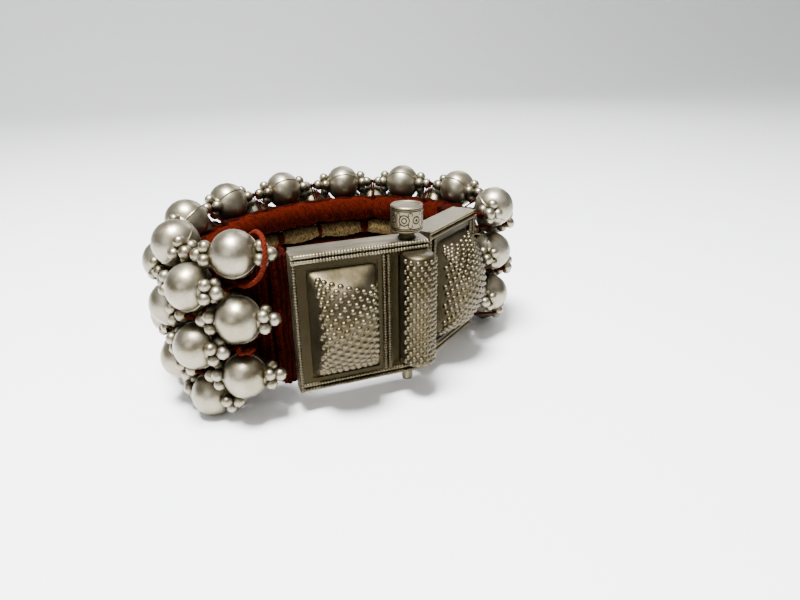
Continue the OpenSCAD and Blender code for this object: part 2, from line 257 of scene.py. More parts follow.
class Layout:
    """Where each ball, cord and box lies for a set of sizes."""

    def __init__(self, sizes):
        self.ball_r = millimetres(sizes.ball_width) / 2
        self.ball_half = millimetres(sizes.ball_length) / 2
        self.tip_x = self.ball_half + TIP_REACH
        self.row_step = millimetres(sizes.row_step)
        self.thread_r = millimetres(sizes.thread) / 2
        self.yarn_pitch = millimetres(sizes.yarn_pitch)
        self.barrel = millimetres(sizes.barrel)
        self.box_h = millimetres(sizes.box_height)
        self.crown = millimetres(sizes.crown)
        self.bead_pitch = millimetres(sizes.bead_pitch)
        self.head_r = millimetres(sizes.pin_head) / 2
        lean = math.radians(abs(ROW_ROLL[-1]))
        low = (self.ball_r + SEAM_RIM) * math.cos(lean) + SEAM_WIDTH / 2 * math.sin(lean)
        self.mid_z = low + MIDDLE_ROW * self.row_step
        self.box_z = self.mid_z - self.box_h / 2
        thick, inner, middle = (
            millimetres(size) for size in (sizes.thick_cord, sizes.inner_cord, sizes.middle_cord))
        upper = middle / 2 + CORD_GAP + inner / 2
        top = upper + inner / 2 + CORD_GAP + thick / 2
        self.cords = {
            "cord_top": (thick / 2, self.mid_z + top),
            "cord_upper": (inner / 2, self.mid_z + upper),
            "cord_middle": (middle / 2, self.mid_z),
            "cord_lower": (inner / 2, self.mid_z - upper),
            "cord_bottom": (thick / 2, self.mid_z - top),
        }
        spots = np.array(
            [self.ball_spot(c, row) for row in range(ROWS) for c in self.row_columns(row)])
        middle_x = (spots[:, 0].min() + spots[:, 0].max()) / 2
        middle_y = (spots[:, 1].max() + self.ball_r - self.crown - PACKED_GRAIN) / 2
        self.origin = np.array((middle_x, middle_y, 0.0))
        drift = abs(LEFT_BOX[0].x / MM + self.origin[0])
        if drift > DRIFT_LIMIT:
            raise RuntimeError("The clasp lies %.2f mm from the packed one" % drift)

    @staticmethod
    def row_columns(row):
        return range(row % 2, COLUMNS, 2)

    @staticmethod
    def column_at(column):
        return FIRST_BALL + column * (BAND.length - FIRST_BALL - LAST_BALL) / (COLUMNS - 1)

    @staticmethod
    def near_end(column):
        """0 along the band, rising to 1 at the last column."""
        return (max(0.0, column - COLUMNS + 3) / 2) ** 2

    def inner_line(self, inward):
        """Line at a distance inside the balls' skins."""
        return BandLine(self.ball_r + SKIN_GAP + inward)

    def ball_height(self, column, row):
        drawn = 1.0 - GATHER * self.near_end(column)
        return self.mid_z + (MIDDLE_ROW - row) * self.row_step * drawn

    def ball_out(self, column, row):
        """How far a ball stands outside the line."""
        near = self.near_end(column)
        return (ROW_OUT[row] + BULGE * near) * (1.0 - near)

    def ball_spot(self, column, row):
        """Centre of a ball; columns between two balls give the gap between them."""
        spot, heading = BAND.at(self.column_at(column))
        flat = spot - self.ball_out(column, row) * right_of(heading)
        return lifted(flat, self.ball_height(column, row))

    def ball_turn(self, column, row):
        """Rotation of a ball: its axis along the row, rolled so that its outer half looks up."""
        heading = math.radians(BAND.at(self.column_at(column))[1])
        roll = Matrix.Rotation(math.radians(ROW_ROLL[row]), 3, "X")
        return np.array(Matrix.Rotation(heading, 3, "Z") @ roll)

    def off_first_column(self, centre, forward, outward, up):
        """Point off a place in the first column: towards the clasp, out of the band and up."""
        heading = BAND.at(self.column_at(0))[1]
        return centre + lifted(-towards(heading) * forward - right_of(heading) * outward, up)

    def left_box(self, points):
        return np.asarray(points, float) + (0.0, 0.0, self.box_z)

    def right_box(self, points):
        turn = np.array(Matrix.Rotation(math.radians(CLASP_BEND), 3, "Z"))
        return np.asarray(points, float) @ turn.T + lifted(RIGHT_CORNER, self.box_z)

    def right_end(self, points):
        """Places told from the right box's far end, as the left box's are from its corner."""
        mirrored = np.asarray(points, float) * (-1.0, 1.0, 1.0) + (RIGHT_WIDTH, 0.0, 0.0)
        return self.right_box(mirrored)


# Meshes

class Shape:
    """Points and faces in millimetres that become one mesh; darker faces are marked 1."""

    def __init__(self, mark=0):
        self.points = []
        self.faces = []
        self.marks = []
        self.mark = mark
        self.count = 0

    def add(self, points, faces, marks=None):
        points = np.asarray(points, float).reshape(-1, 3)
        self.points.append(points)
        offset = self.count
        self.faces.extend([[corner + offset for corner in face] for face in faces])
        self.marks.extend(marks if marks is not None else [self.mark] * len(faces))
        self.count += len(points)

    def grid(self, points, round_u=False, round_v=False):
        """Skin over rows of points; a round direction closes on itself."""
        points = np.asarray(points, float)
        rows, sides = points.shape[:2]
        index = np.arange(rows * sides).reshape(rows, sides)
        if round_u:
            index = np.vstack((index, index[:1]))
        if round_v:
            index = np.hstack((index, index[:, :1]))
        self.add(points, cell_corners(index).reshape(-1, 4).tolist())

    def disc(self, ring, centre, flip=False):
        """Fan from a centre to a ring of points."""
        ring = np.asarray(ring, float)
        count = len(ring)
        faces = [[count, i, (i + 1) % count] for i in range(count)]
        if flip:
            faces = [face[::-1] for face in faces]
        self.add(np.vstack((ring, [centre])), faces)

    def cap_ends(self, rows, centres=None):
        """Closes a skin's first and last rows, round their middles if no centres are given."""
        if centres is None:
            centres = (np.mean(rows[0], axis=0), np.mean(rows[-1], axis=0))
        self.disc(rows[0], centres[0])
        self.disc(rows[-1], centres[-1], flip=True)


def cell_corners(values):
    """The four corner values of each cell of a grid."""
    return np.stack((values[:-1, :-1], values[:-1, 1:], values[1:, 1:], values[1:, :-1]), axis=-1)


def placed(move, *parts):
    """Parts told in a box's own frame, moved to their place and joined."""
    whole = Shape()
    for part in parts:
        whole.add(move(np.concatenate(part.points)), part.faces, part.marks)
    return whole


def all_outward(mesh):
    """Turns every face of a mesh outward."""
    work = bmesh.new()
    work.from_mesh(mesh)
    bmesh.ops.remove_doubles(work, verts=work.verts, dist=0.002 * MM)
    bmesh.ops.recalc_face_normals(work, faces=work.faces)
    work.to_mesh(mesh)
    work.free()


def make_piece(name, shape, layout, finish, body="bracelet", nodes=(), sharp=50.0,
               darker=None):
    """Turns a shape into a Blender object that rides on a body."""
    points = (np.concatenate(shape.points) - layout.origin) * MM
    mesh = bpy.data.meshes.new(name)
    mesh.from_pydata(points.tolist(), [], shape.faces)
    mesh.materials.append(bpy.data.materials[finish])
    if darker:
        mesh.materials.append(bpy.data.materials[darker])
        mesh.polygons.foreach_set("material_index", shape.marks)
    all_outward(mesh)
    mesh.shade_smooth()
    mesh.set_sharp_from_angle(angle=math.radians(sharp))
    piece = bpy.data.objects.new(name, mesh)
    bpy.context.scene.collection.objects.link(piece)
    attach(piece, body)
    if nodes:
        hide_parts(*nodes)
    return piece


class Path:
    """A line in space with two side directions at every point of it."""

    def __init__(self, points, closed=False, side=None):
        points = np.asarray(points, float)
        if closed:
            points = np.vstack((points, points[:1]))
        self.points = points
        steps = np.linalg.norm(np.diff(points, axis=0), axis=1)
        self.along = np.concatenate(([0.0], np.cumsum(steps)))
        self.length = self.along[-1]
        ahead = np.gradient(points, axis=0)
        if closed:
            ahead[0] = ahead[-1] = points[1] - points[-2]
        ahead /= np.linalg.norm(ahead, axis=1)[:, None]
        sides = np.zeros_like(points)
        last = np.array(side if side is not None else (0.0, 0.0, 1.0), float)
        if abs(last @ ahead[0]) > 0.9:
            last = np.array((1.0, 0.0, 0.0))
        for i, direction in enumerate(ahead):
            last = last - direction * (last @ direction)
            last = last / np.linalg.norm(last)
            sides[i] = last
        self.up = sides
        self.across = np.cross(ahead, sides)

    def frame(self, distance):
        """Point and both side directions at distances along the line."""
        out = []
        for values in (self.points, self.across, self.up):
            out.append(np.stack(
                [np.interp(distance, self.along, values[:, k]) for k in range(3)], axis=-1))
        return out


def smooth_path(controls, per_span, closed=False, side=None):
    """Path of a smooth curve through the given points."""
    controls = np.asarray(controls, float)
    count = len(controls)
    spans = count if closed else count - 1
    path = []
    for i in range(spans):
        if closed:
            a, b, c, d = (controls[(i + k) % count] for k in (-1, 0, 1, 2))
        else:
            a, b, c, d = (controls[min(max(i + k, 0), count - 1)] for k in (-1, 0, 1, 2))
        for step in range(per_span):
            t = step / per_span
            path.append(0.5 * (
                2 * b + (c - a) * t + (2 * a - 5 * b + 4 * c - d) * t ** 2
                + (3 * b - a - 3 * c + d) * t ** 3))
    if not closed:
        path.append(controls[-1])
    return Path(path, closed, side)


def tube(shape, path, radius, sides=8, closed=False, step=None, caps=True):
    """Round tube along a path; the radius may be a number or a function of distance."""
    count = len(path.points) if step is None else max(2, int(round(path.length / step)) + 1)
    distance = path.along if step is None else np.linspace(0.0, path.length, count)
    if closed:
        distance = distance[:-1]
    centre, across, up = path.frame(distance)
    size = radius(distance) if callable(radius) else np.full(len(distance), float(radius))
    angle = circle(sides)
    ring = (np.cos(angle)[None, :, None] * across[:, None, :]
            + np.sin(angle)[None, :, None] * up[:, None, :])
    points = centre[:, None, :] + size[:, None, None] * ring
    shape.grid(points, round_u=closed, round_v=True)
    if caps and not closed:
        shape.cap_ends(points, centre)


# Roundness of a wound thread's ridge, and the share of its height that lies below the radius
RIDGE_ROUND = 0.7
RIDGE_BELOW = 0.6


def wound(shape, path, radius, pitch, starts, sides, ridge, per_turn=6, uneven=0.0):
    """Cord of wound thread: the grid leans with the thread, so each turn is one clean ridge."""
    step = pitch / per_turn
    lean = starts * per_turn
    rows = int(path.length / step) + lean + 2
    row = np.arange(rows)[:, None]
    side = np.arange(sides)[None, :]
    raw = row * step - side / sides * starts * pitch
    distance = np.clip(raw, 0.0, path.length)
    size = radius(distance) if callable(radius) else np.full(distance.shape, float(radius))
    turns = row / per_turn
    size = size + ridge * (np.abs(np.sin(math.pi * turns)) ** RIDGE_ROUND - RIDGE_BELOW)
    size = size + uneven * (np.sin(1.9 * turns) + np.sin(0.73 * turns + 1.0)) / 2
    angle = circle(sides)[None, :]
    centre, across, up = path.frame(distance)
    points = (centre + (size * np.cos(angle))[..., None] * across
              + (size * np.sin(angle))[..., None] * up)
    index = np.arange(rows * sides).reshape(rows, sides)
    joined = np.full(rows, -1)
    joined[lean:] = index[:rows - lean, 0]
    corners = cell_corners(np.hstack((index, joined[:, None])))
    spans = cell_corners(np.hstack((raw, raw[:, :1] - starts * pitch)))
    keep = (spans.max(axis=-1) > 0.0) & (spans.min(axis=-1) < path.length)
    keep &= corners.min(axis=-1) >= 0
    shape.add(points, corners[keep].tolist())
    for end, flip in ((0.0, False), (path.length, True)):
        centre, across, up = (value[0] for value in path.frame(np.array([end])))
        size = radius(np.array([end]))[0] if callable(radius) else radius
        turn = circle(sides)[:, None]
        shape.disc(centre + size * (np.cos(turn) * across + np.sin(turn) * up), centre, flip)


def round_grain(radius, sides, rings, flat=1.0):
    """Points and faces of a small round grain."""
    shape = Shape()
    rise = np.linspace(0.0, math.pi, rings + 1)[1:-1, None]
    turn = circle(sides)
    points = np.stack((
        np.sin(rise) * np.cos(turn), np.sin(rise) * np.sin(turn),
        np.repeat(np.cos(rise) * flat, sides, axis=1)), axis=-1) * radius
    shape.grid(points, round_v=True)
    shape.cap_ends(points, ((0.0, 0.0, radius * flat), (0.0, 0.0, -radius * flat)))
    return shape


def facing(direction):
    """Rotation that turns the Z axis to a direction."""
    z = np.asarray(direction, float)
    z = z / np.linalg.norm(z)
    helper = np.array((0.0, 0.0, 1.0)) if abs(z[2]) < 0.9 else np.array((1.0, 0.0, 0.0))
    x = np.cross(helper, z)
    x /= np.linalg.norm(x)
    return np.stack((x, np.cross(z, x), z), axis=1)


def copies(shape, template, places):
    """Adds a copy of a template at each (spot, rotation)."""
    points = np.concatenate(template.points)
    for spot, turn in places:
        shape.add(points @ turn.T + spot, template.faces)


# Materials

class Nodes:
    """Short ways to add and link the nodes of a material or a world."""

    def __init__(self, owner):
        owner.use_nodes = True
        self.nodes = owner.node_tree.nodes
        self.links = owner.node_tree.links

    def feed(self, socket, value):
        """Gives a socket a number, a colour or another socket."""
        if isinstance(value, bpy.types.NodeSocket):
            self.links.new(value, socket)
        elif socket.type == "RGBA":
            socket.default_value = (*value, 1.0)
        else:
            socket.default_value = value

    def add(self, kind, **inputs):
        """New node with some inputs fed; an underscore stands for a space in an input's name."""
        node = self.nodes.new(kind)
        for name, value in inputs.items():
            self.feed(node.inputs[name.replace("_", " ")], value)
        return node

    def noise(self, scale, detail):
        """Noise in the object's own space; scale counts spots per metre."""
        place = self.add("ShaderNodeTexCoord").outputs["Object"]
        noise = self.add("ShaderNodeTexNoise", Vector=place, Scale=scale, Detail=detail)
        return noise.outputs["Fac"]

    def spread(self, value, low, high, to_low=0.0, to_high=1.0):
        """Maps a range of values to another."""
        node = self.add("ShaderNodeMapRange", Value=value, From_Min=low, From_Max=high,
                        To_Min=to_low, To_Max=to_high)
        return node.outputs["Result"]

    def maths(self, kind, first, second):
        node = self.nodes.new("ShaderNodeMath")
        node.operation = kind
        self.feed(node.inputs[0], first)
        self.feed(node.inputs[1], second)
        return node.outputs[0]

    def blended(self, factor, first, second):
        """Mix of two colours, each a colour or a socket."""
        node = self.nodes.new("ShaderNodeMix")
        node.data_type = "RGBA"
        for place, value in ((0, factor), (6, first), (7, second)):
            self.feed(node.inputs[place], value)
        return node.outputs[2]

    def crevices(self, reach, low, high):
        """1 in the open and 0 in the recesses."""
        shade = self.add("ShaderNodeAmbientOcclusion", Distance=reach)
        shade.samples = 6
        return self.spread(shade.outputs["AO"], low, high)

    def bumped(self, shader, *layers):
        """Chains bump layers of (height socket, strength, depth in metres) into the shader."""
        normal = None
        for height, strength, depth in layers:
            bump = self.add("ShaderNodeBump", Height=height, Strength=strength, Distance=depth)
            if normal:
                self.feed(bump.inputs["Normal"], normal)
            normal = bump.outputs["Normal"]
        self.feed(shader.inputs["Normal"], normal)


def new_material(name):
    """Tree and shader of a new material."""
    tree = Nodes(bpy.data.materials.new(name))
    return tree, tree.nodes["Principled BSDF"]


def tinted(colour, *factors):
    """Colour with its channels multiplied by one factor or by three, and never past white."""
    return tuple(np.minimum(1.0, np.array(tuple(colour)) * factors))


# Spots in a metre of each noise in the silver and in the cotton
CLOUDS = 260.0
SPECKS = 2300.0
FIBRES = 6500.0
PATCHES = 210.0
STREAKS = 1300.0
# Polish, reach of the dark recesses in metres, strength of the dark skin and of the dents,
# brightness and warmth
SILVERS = {
    "ball_silver": (0.28, 0.0034, 0.95, 0.40, 0.80, 0.0),
    "granulated_silver": (0.28, 0.0009, 0.92, 0.20, 0.30, 0.55),
    "rubbed_silver": (0.34, 0.0012, 0.92, 0.40, 0.55, 0.30),
    "plain_silver": (0.36, 0.0022, 0.92, 0.50, 0.18, 0.6),
    # Tarnish in recesses and engraved lines, and painted shade on the box fronts and the pin's neck.
    "tarnish_and_shade_silver": (0.42, 0.0016, 0.95, 0.50, 0.062, 0.9),
}
# Tint of the silver's duller patches
CLOUD_TINT = (0.72, 0.68, 0.58)
# Depths of the dents, the specks, the fibres and the yarn's uneven patches, and the reach of
# the shade between its turns, in metres
CLOUD_DEPTH = 0.00025
SPECK_DEPTH = 0.00003
FIBRE_DEPTH = 0.0001
PATCH_DEPTH = 0.0002
YARN_SHADE_REACH = 0.0011


def silver_material(name, tints, polish, reach, skin, dents, brightness, warmth):
    """Old silver: rubbed on the high places, dark in the recesses, with small dents."""
    tree, shader = new_material(name)
    clouds = tree.noise(CLOUDS, 4.0)
    specks = tree.noise(SPECKS, 3.0)
    rubbed = tree.maths("MULTIPLY", tree.crevices(reach, 0.25, 0.85),
                        tree.spread(specks, 0.30, 0.52, 0.82, 1.0))
    dark = tree.maths("MULTIPLY", tree.maths("SUBTRACT", 1.0, rubbed), skin)
    warm_tint = (1.0, 1.0 - 0.14 * warmth, 1.0 - 0.42 * warmth)
    silver = tinted(tinted(tints.silver, brightness), *warm_tint)
    bright = tree.blended(tree.spread(clouds, 0.38, 0.68), tinted(silver, *CLOUD_TINT), silver)
    tree.feed(shader.inputs["Base Color"], tree.blended(dark, bright, tints.tarnish))
    rough = tree.maths("ADD", tree.spread(clouds, 0.3, 0.7, polish, polish + 0.14),
                       tree.maths("MULTIPLY", dark, 0.30))
    tree.feed(shader.inputs["Roughness"], rough)
    shader.inputs["Metallic"].default_value = 1.0
    tree.bumped(shader, (clouds, dents, CLOUD_DEPTH), (specks, dents * 0.6, SPECK_DEPTH))


def cotton_material(name, light, dark):
    """Cotton: fine fibres, painted shade between the turns, faded and worn in patches."""
    tree, shader = new_material(name)
    fibres = tree.noise(FIBRES, 4.0)
    patches = tree.noise(PATCHES, 3.0)
    streaks = tree.noise(STREAKS, 3.0)
    body = tree.blended(tree.spread(patches, 0.35, 0.70), light, tinted(light, 1.3))
    body = tree.blended(tree.spread(streaks, 0.47, 0.66, 0.0, 0.85), body, dark)
    shaded = tree.blended(tree.spread(fibres, 0.30, 0.62), dark, body)
    # Painted shade: the recesses between the turns take the dark colour.
    colour = tree.blended(tree.crevices(YARN_SHADE_REACH, 0.15, 0.75), dark, shaded)
    tree.feed(shader.inputs["Base Color"], colour)
    shader.inputs["Roughness"].default_value = 0.9
    shader.inputs["Specular IOR Level"].default_value = 0.02
    tree.bumped(shader, (fibres, 0.7, FIBRE_DEPTH), (patches, 0.25, PATCH_DEPTH))


def make_finishes(tints):
    """Makes every silver and cotton of the bracelet."""
    for name, values in SILVERS.items():
        silver_material(name, tints, *values)
    red, deep = tints.brick_red, tints.dark_red
    cotton_material("brick_red_cotton", red, deep)
    cotton_material("bright_red_cotton", tinted(red, 1.5, 2.8, 10.0), red)
    # The shaded and deep shade reds are darker copies of the brick red: painted shade.
    cotton_material("shaded_red_cotton", tinted(red, 0.80), tinted(deep, 0.5))
    cotton_material("deep_shade_red_cotton", tinted(deep, 1.3), tinted(deep, 0.3))
    cotton_material("khaki_yarn", tints.khaki, tints.dark_khaki)


def laid_out(context):
    """The bracelet's layout; the first call makes its materials too."""
    if "ball_silver" not in bpy.data.materials:
        make_finishes(context.scene.bracelet_colours)
    return Layout(context.scene.bracelet_sizes)


# Camera and stage, in metres and degrees

CAMERA_SPOT = (-0.03833, -0.13381, 0.07302)
CAMERA_TURN = (66.32, 0.44, -21.52)
# Half width and front end of the floor, and the sweep from it up to the backdrop's top
FLOOR_SIDE = 6.0
FLOOR_FRONT = -9.0
SWEEP_START = 0.6
SWEEP_RADIUS = 0.4
SWEEP_STEPS = 12
BACKDROP_TOP = 1.6
# Heights in the room, from 0 underfoot to 1 overhead, and the colours there
ROOM_BANDS = (
    (0.46, (0.10, 0.09, 0.075)),
    (0.62, (0.26, 0.255, 0.25)),
    (0.78, (0.50, 0.50, 0.50)),
    (0.90, (1.0, 1.0, 1.0)),
)


class BRACELET_OT_camera(Operator):
    """Place the camera where the clasp and both ends of the band show."""

    bl_idname = "bracelet.camera"
    bl_label = "Place the camera"

    def execute(self, context):
        lens = bpy.data.cameras.new("camera")
        lens.lens = context.scene.bracelet_stage.lens
        lens.sensor_width = 36.0
        lens.clip_start = 0.005
        lens.clip_end = 20.0
        camera = bpy.data.objects.new("camera", lens)
        camera.location = CAMERA_SPOT
        camera.rotation_euler = [math.radians(angle) for angle in CAMERA_TURN]
        context.scene.collection.objects.link(camera)
        context.scene.camera = camera
        return {"FINISHED"}


class BRACELET_OT_stage(Operator):
    """Make the pale floor with its backdrop and the soft lights."""

    bl_idname = "bracelet.stage"
    bl_label = "Make the stage"

    def execute(self, context):
        scene = context.scene
        settings = scene.bracelet_stage
        self.make_floor(scene)
        self.make_lights(scene, settings)
        self.make_room(scene, settings)
        return {"FINISHED"}

    def make_floor(self, scene):
        sweep = arc((SWEEP_START, SWEEP_RADIUS), SWEEP_RADIUS, -math.pi / 2, 0.0, SWEEP_STEPS + 1)
        profile = [(FLOOR_FRONT, 0.0), *sweep, (SWEEP_START + SWEEP_RADIUS, BACKDROP_TOP)]
        points = [(x, y, z) for y, z in profile for x in (-FLOOR_SIDE, FLOOR_SIDE)]
        faces = [[2 * i, 2 * i + 1, 2 * i + 3, 2 * i + 2] for i in range(len(profile) - 1)]
        mesh = bpy.data.meshes.new("floor_sweep")
        mesh.from_pydata(points, [], faces)
        mesh.shade_smooth()
        tree, shader = new_material("pale_paper")
        tone = scene.bracelet_colours.floor
        mottled = tree.blended(tree.noise(60.0, 2.0), tone, tinted(tone, 0.985))
        tree.feed(shader.inputs["Base Color"], mottled)
        shader.inputs["Roughness"].default_value = 0.75
        mesh.materials.append(bpy.data.materials["pale_paper"])
        floor = bpy.data.objects.new("floor_sweep", mesh)
        scene.collection.objects.link(floor)

    def make_lights(self, scene, settings):
        fill = settings.fill_power
        lights = (
            ("key_light", (-0.08, -0.08, 0.46), 0.16, settings.key_power, (0.0, 0.0, 0.02)),
            ("front_light", (-0.42, -0.46, 0.30), 0.30, fill, (0.0, -0.01, 0.02)),
            ("back_light", (0.30, 0.42, 0.34), 0.30, fill * 0.9, (0.0, 0.0, 0.02)),
        )
        for name, spot, width, power, aim in lights:
            data = bpy.data.lights.new(name, "AREA")
            data.shape = "DISK"
            data.size = width
            data.energy = power
            light = bpy.data.objects.new(name, data)
            light.location = spot
            direction = Vector(aim) - light.location
            light.rotation_euler = direction.to_track_quat("-Z", "Y").to_euler()
            scene.collection.objects.link(light)

    def make_room(self, scene, settings):
        """Room round the stage: bright ceiling, mid walls and a darker low part."""
        room = bpy.data.worlds.new("room")
        tree = Nodes(room)
        way = tree.add("ShaderNodeTexCoord").outputs["Generated"]
        height = tree.add("ShaderNodeSeparateXYZ", Vector=way).outputs["Z"]
        ramp = tree.add("ShaderNodeValToRGB", Fac=tree.spread(height, -1.0, 1.0))
        stops = ramp.color_ramp.elements
        for level, tone in ROOM_BANDS[1:-1]:
            stops.new(level)
        for stop, (level, tone) in zip(stops, ROOM_BANDS):
            stop.position = level
            stop.color = (*tone, 1.0)
        background = tree.nodes["Background"]
        tree.feed(background.inputs["Color"], ramp.outputs["Color"])
        background.inputs["Strength"].default_value = settings.sky_strength
        scene.world = room


# Cotton

# Windings of a given radius: length of a turn, threads side by side, sides of the cord,
# height of a ridge and rows of points in a turn
THREAD_TWIST = (0.7, 2, 8, 0.10, 5)
LEAD_TWIST = (0.7, 2, 8, 0.08, 5)
BINDING_TURNS = (0.5, 1, 18, 0.14, 5)
# The same after the radius
NECK_TWIST = (0.46, 0.75, 3, 12, 0.12, 6)
KNOT_TWIST = (0.30, 0.5, 2, 8, 0.12, 5)
WHIP_TWIST = (0.48, 0.8, 3, 9, 0.13, 4)
BUNCH_TWIST = (0.50, 0.8, 3, 9, 0.14, 4)
# The same after the radius and the yarn's own length of turn
LAID_TWIST = (3, 9, 0.12, 4)
LAID_R = 0.80
# Distance between a cord's points
CORD_STEP = 0.5
# Height of the ridges on the red cords and on the khaki ones
RED_RIDGE = 0.26
KHAKI_RIDGE = 0.16
# Half-width and depth of the place where a tie draws a red cord in
TIE_HALF = 1.6
TIE_DEPTH = 0.12
# Half-width, inner radius and swell of the red binding between two barrels
BINDING_HALF = 1.1
BINDING_SINK = 0.66
BINDING_SWELL = 0.30
# How far a laid thread lies inside the balls, in a groove and beyond an outer cord, and how
# far beyond that cord's middle
GROOVE_IN = 1.3
OUTER_IN = 0.9
OUTER_RISE = 2.2
# Share of a cord's radius at which a tie loop sinks into it
LOOP_SINK = 0.60
# Flattened roll at a box's end: its middle line from front to back, its half-thickness and
# its distance from the box's top and foot
ROLL_X = -1.4
ROLL_FRONT = 4.9
ROLL_BACK = 9.0
ROLL_R = 1.25
ROLL_INSET = 0.8


def between_bunches(line, count, height):
    """Path along a line from bunch to bunch, its height a function of the distance."""
    places = np.linspace(CORD_START, line.length - CORD_START, count)
    return Path([lifted(line.at(distance)[0], height(distance)) for distance in places])


def cord_path(layout, name):
    """A cord's path and its radius."""
    radius, height = layout.cords[name]
    line = layout.inner_line(radius)
    count = int((line.length - 2 * CORD_START) / CORD_STEP)
    return between_bunches(line, count, lambda distance: height), radius


class BRACELET_OT_cords(Operator):
    """Wind the five cords: red ones drawn in by their ties, khaki ones bound into barrels."""

    bl_idname = "bracelet.cords"
    bl_label = "Wind the cords"

    def execute(self, context):
        layout = laid_out(context)
        for name, row in (("cord_top", 0), ("cord_bottom", 5)):
            self.red_cord(layout, name, row, layout.yarn_pitch, 12, 30)
        self.red_cord(layout, "cord_middle", 2, layout.yarn_pitch * 1.1, 8, 22)
        bindings = Shape()
        for name in ("cord_upper", "cord_lower"):
            self.khaki_cord(layout, name, bindings)
        make_piece("khaki_bindings", bindings, layout, "brick_red_cotton")
        self.laid_threads(layout)
        return {"FINISHED"}

    def red_cord(self, layout, name, row, pitch, starts, sides):
        path, radius = cord_path(layout, name)
        line = layout.inner_line(radius)
        ties = [line.matching(layout.column_at(column + 1), BAND) - CORD_START
                for column in layout.row_columns(row)[:-1]]

        def size(distance):
            drawn = sum(np.exp(-((distance - tie) / TIE_HALF) ** 2) for tie in ties)
            swell = 0.045 * np.sin(distance * 0.8) + 0.03 * np.sin(distance * 2.1 + 1.0)
            return radius * (1.0 - TIE_DEPTH * drawn + swell)

        shape = Shape()
        wound(shape, path, size, pitch, starts, sides, RED_RIDGE, uneven=0.20)
        make_piece(name + "_wound", shape, layout, "brick_red_cotton",
                   nodes=(name,))

    def khaki_cord(self, layout, name, bindings):
        path, radius = cord_path(layout, name)
        count = max(1, int(round(path.length / layout.barrel)))
        span = path.length / count
        first = 0.5 * span - 4.0

        def size(distance):
            part = np.clip(((distance - first) / span) % 1.0, 0.001, 0.999)
            ends = np.clip(np.minimum(distance, path.length - distance) / 3.0 + 0.45, 0.0, 1.0)
            return radius * ends * (0.50 + 0.57 * np.sin(math.pi * part) ** 0.75)

        def binding(along):
            edge = np.clip((BINDING_HALF - np.abs(along - BINDING_HALF)) / 0.5, 0.0, 1.0)
            return radius * BINDING_SINK + BINDING_SWELL * edge ** 0.5

        shape = Shape()
        wound(shape, path, size, layout.yarn_pitch * 1.25, 6, 20, KHAKI_RIDGE, uneven=0.08)
        make_piece(name + "_wound", shape, layout, "khaki_yarn", nodes=(name,))
        for i in range(count):
            middle = max(first + i * span, BINDING_HALF + 0.1)
            distance = np.linspace(middle - BINDING_HALF, middle + BINDING_HALF, 8)
            wound(bindings, Path(path.frame(distance)[0]), binding, *BINDING_TURNS)

    def laid_threads(self, layout):
        """Dark threads laid in the grooves between the cords, and two under the outer balls; their dark
        red is painted shade.
        """
        names = list(layout.cords)
        levels = []
        for above, below in zip(names[:-1], names[1:]):
            radius, height = layout.cords[above]
            levels.append(((height - radius + sum(layout.cords[below])) / 2, GROOVE_IN))
        for name, side in ((names[0], 1), (names[-1], -1)):
            levels.append((layout.cords[name][1] + side * OUTER_RISE, OUTER_IN))
        shape = Shape()
        for level, inward in levels:
            path = between_bunches(layout.inner_line(inward), 120,
                                   lambda distance: level + 0.15 * math.sin(distance * 1.3))
            wound(shape, path, LAID_R, layout.yarn_pitch, *LAID_TWIST)
        make_piece("laid_threads", shape, layout, "deep_shade_red_cotton")


def tie_loop(layout, column, row, cord, shift):
    """Closed loop round a row's thread and a cord, square to the band."""
    spot, heading = BAND.at(layout.column_at(column) + shift)
    radius, height = layout.cords[cord]
    far = np.array((-(layout.ball_r + SKIN_GAP + radius), height))
    close = np.array((layout.ball_out(column, row), layout.ball_height(column, row)))
    gap = close - far
    aim = math.atan2(gap[1], gap[0])
    big = radius * LOOP_SINK + layout.thread_r
    small = layout.thread_r * 1.3
    opening = math.acos((big - small) / np.linalg.norm(gap))
    flat = [*arc(far, big, aim + opening, aim + 2 * math.pi - opening, 15),
            *arc(close, small, aim - opening, aim + opening, 7)]
    points = []
    for i, (outward, up) in enumerate(flat):
        wave = 0.12 * math.sin(i * 1.7 + column)
        points.append(lifted(spot - right_of(heading) * outward + towards(heading) * wave, up))
    return smooth_path(points, 2, closed=True)


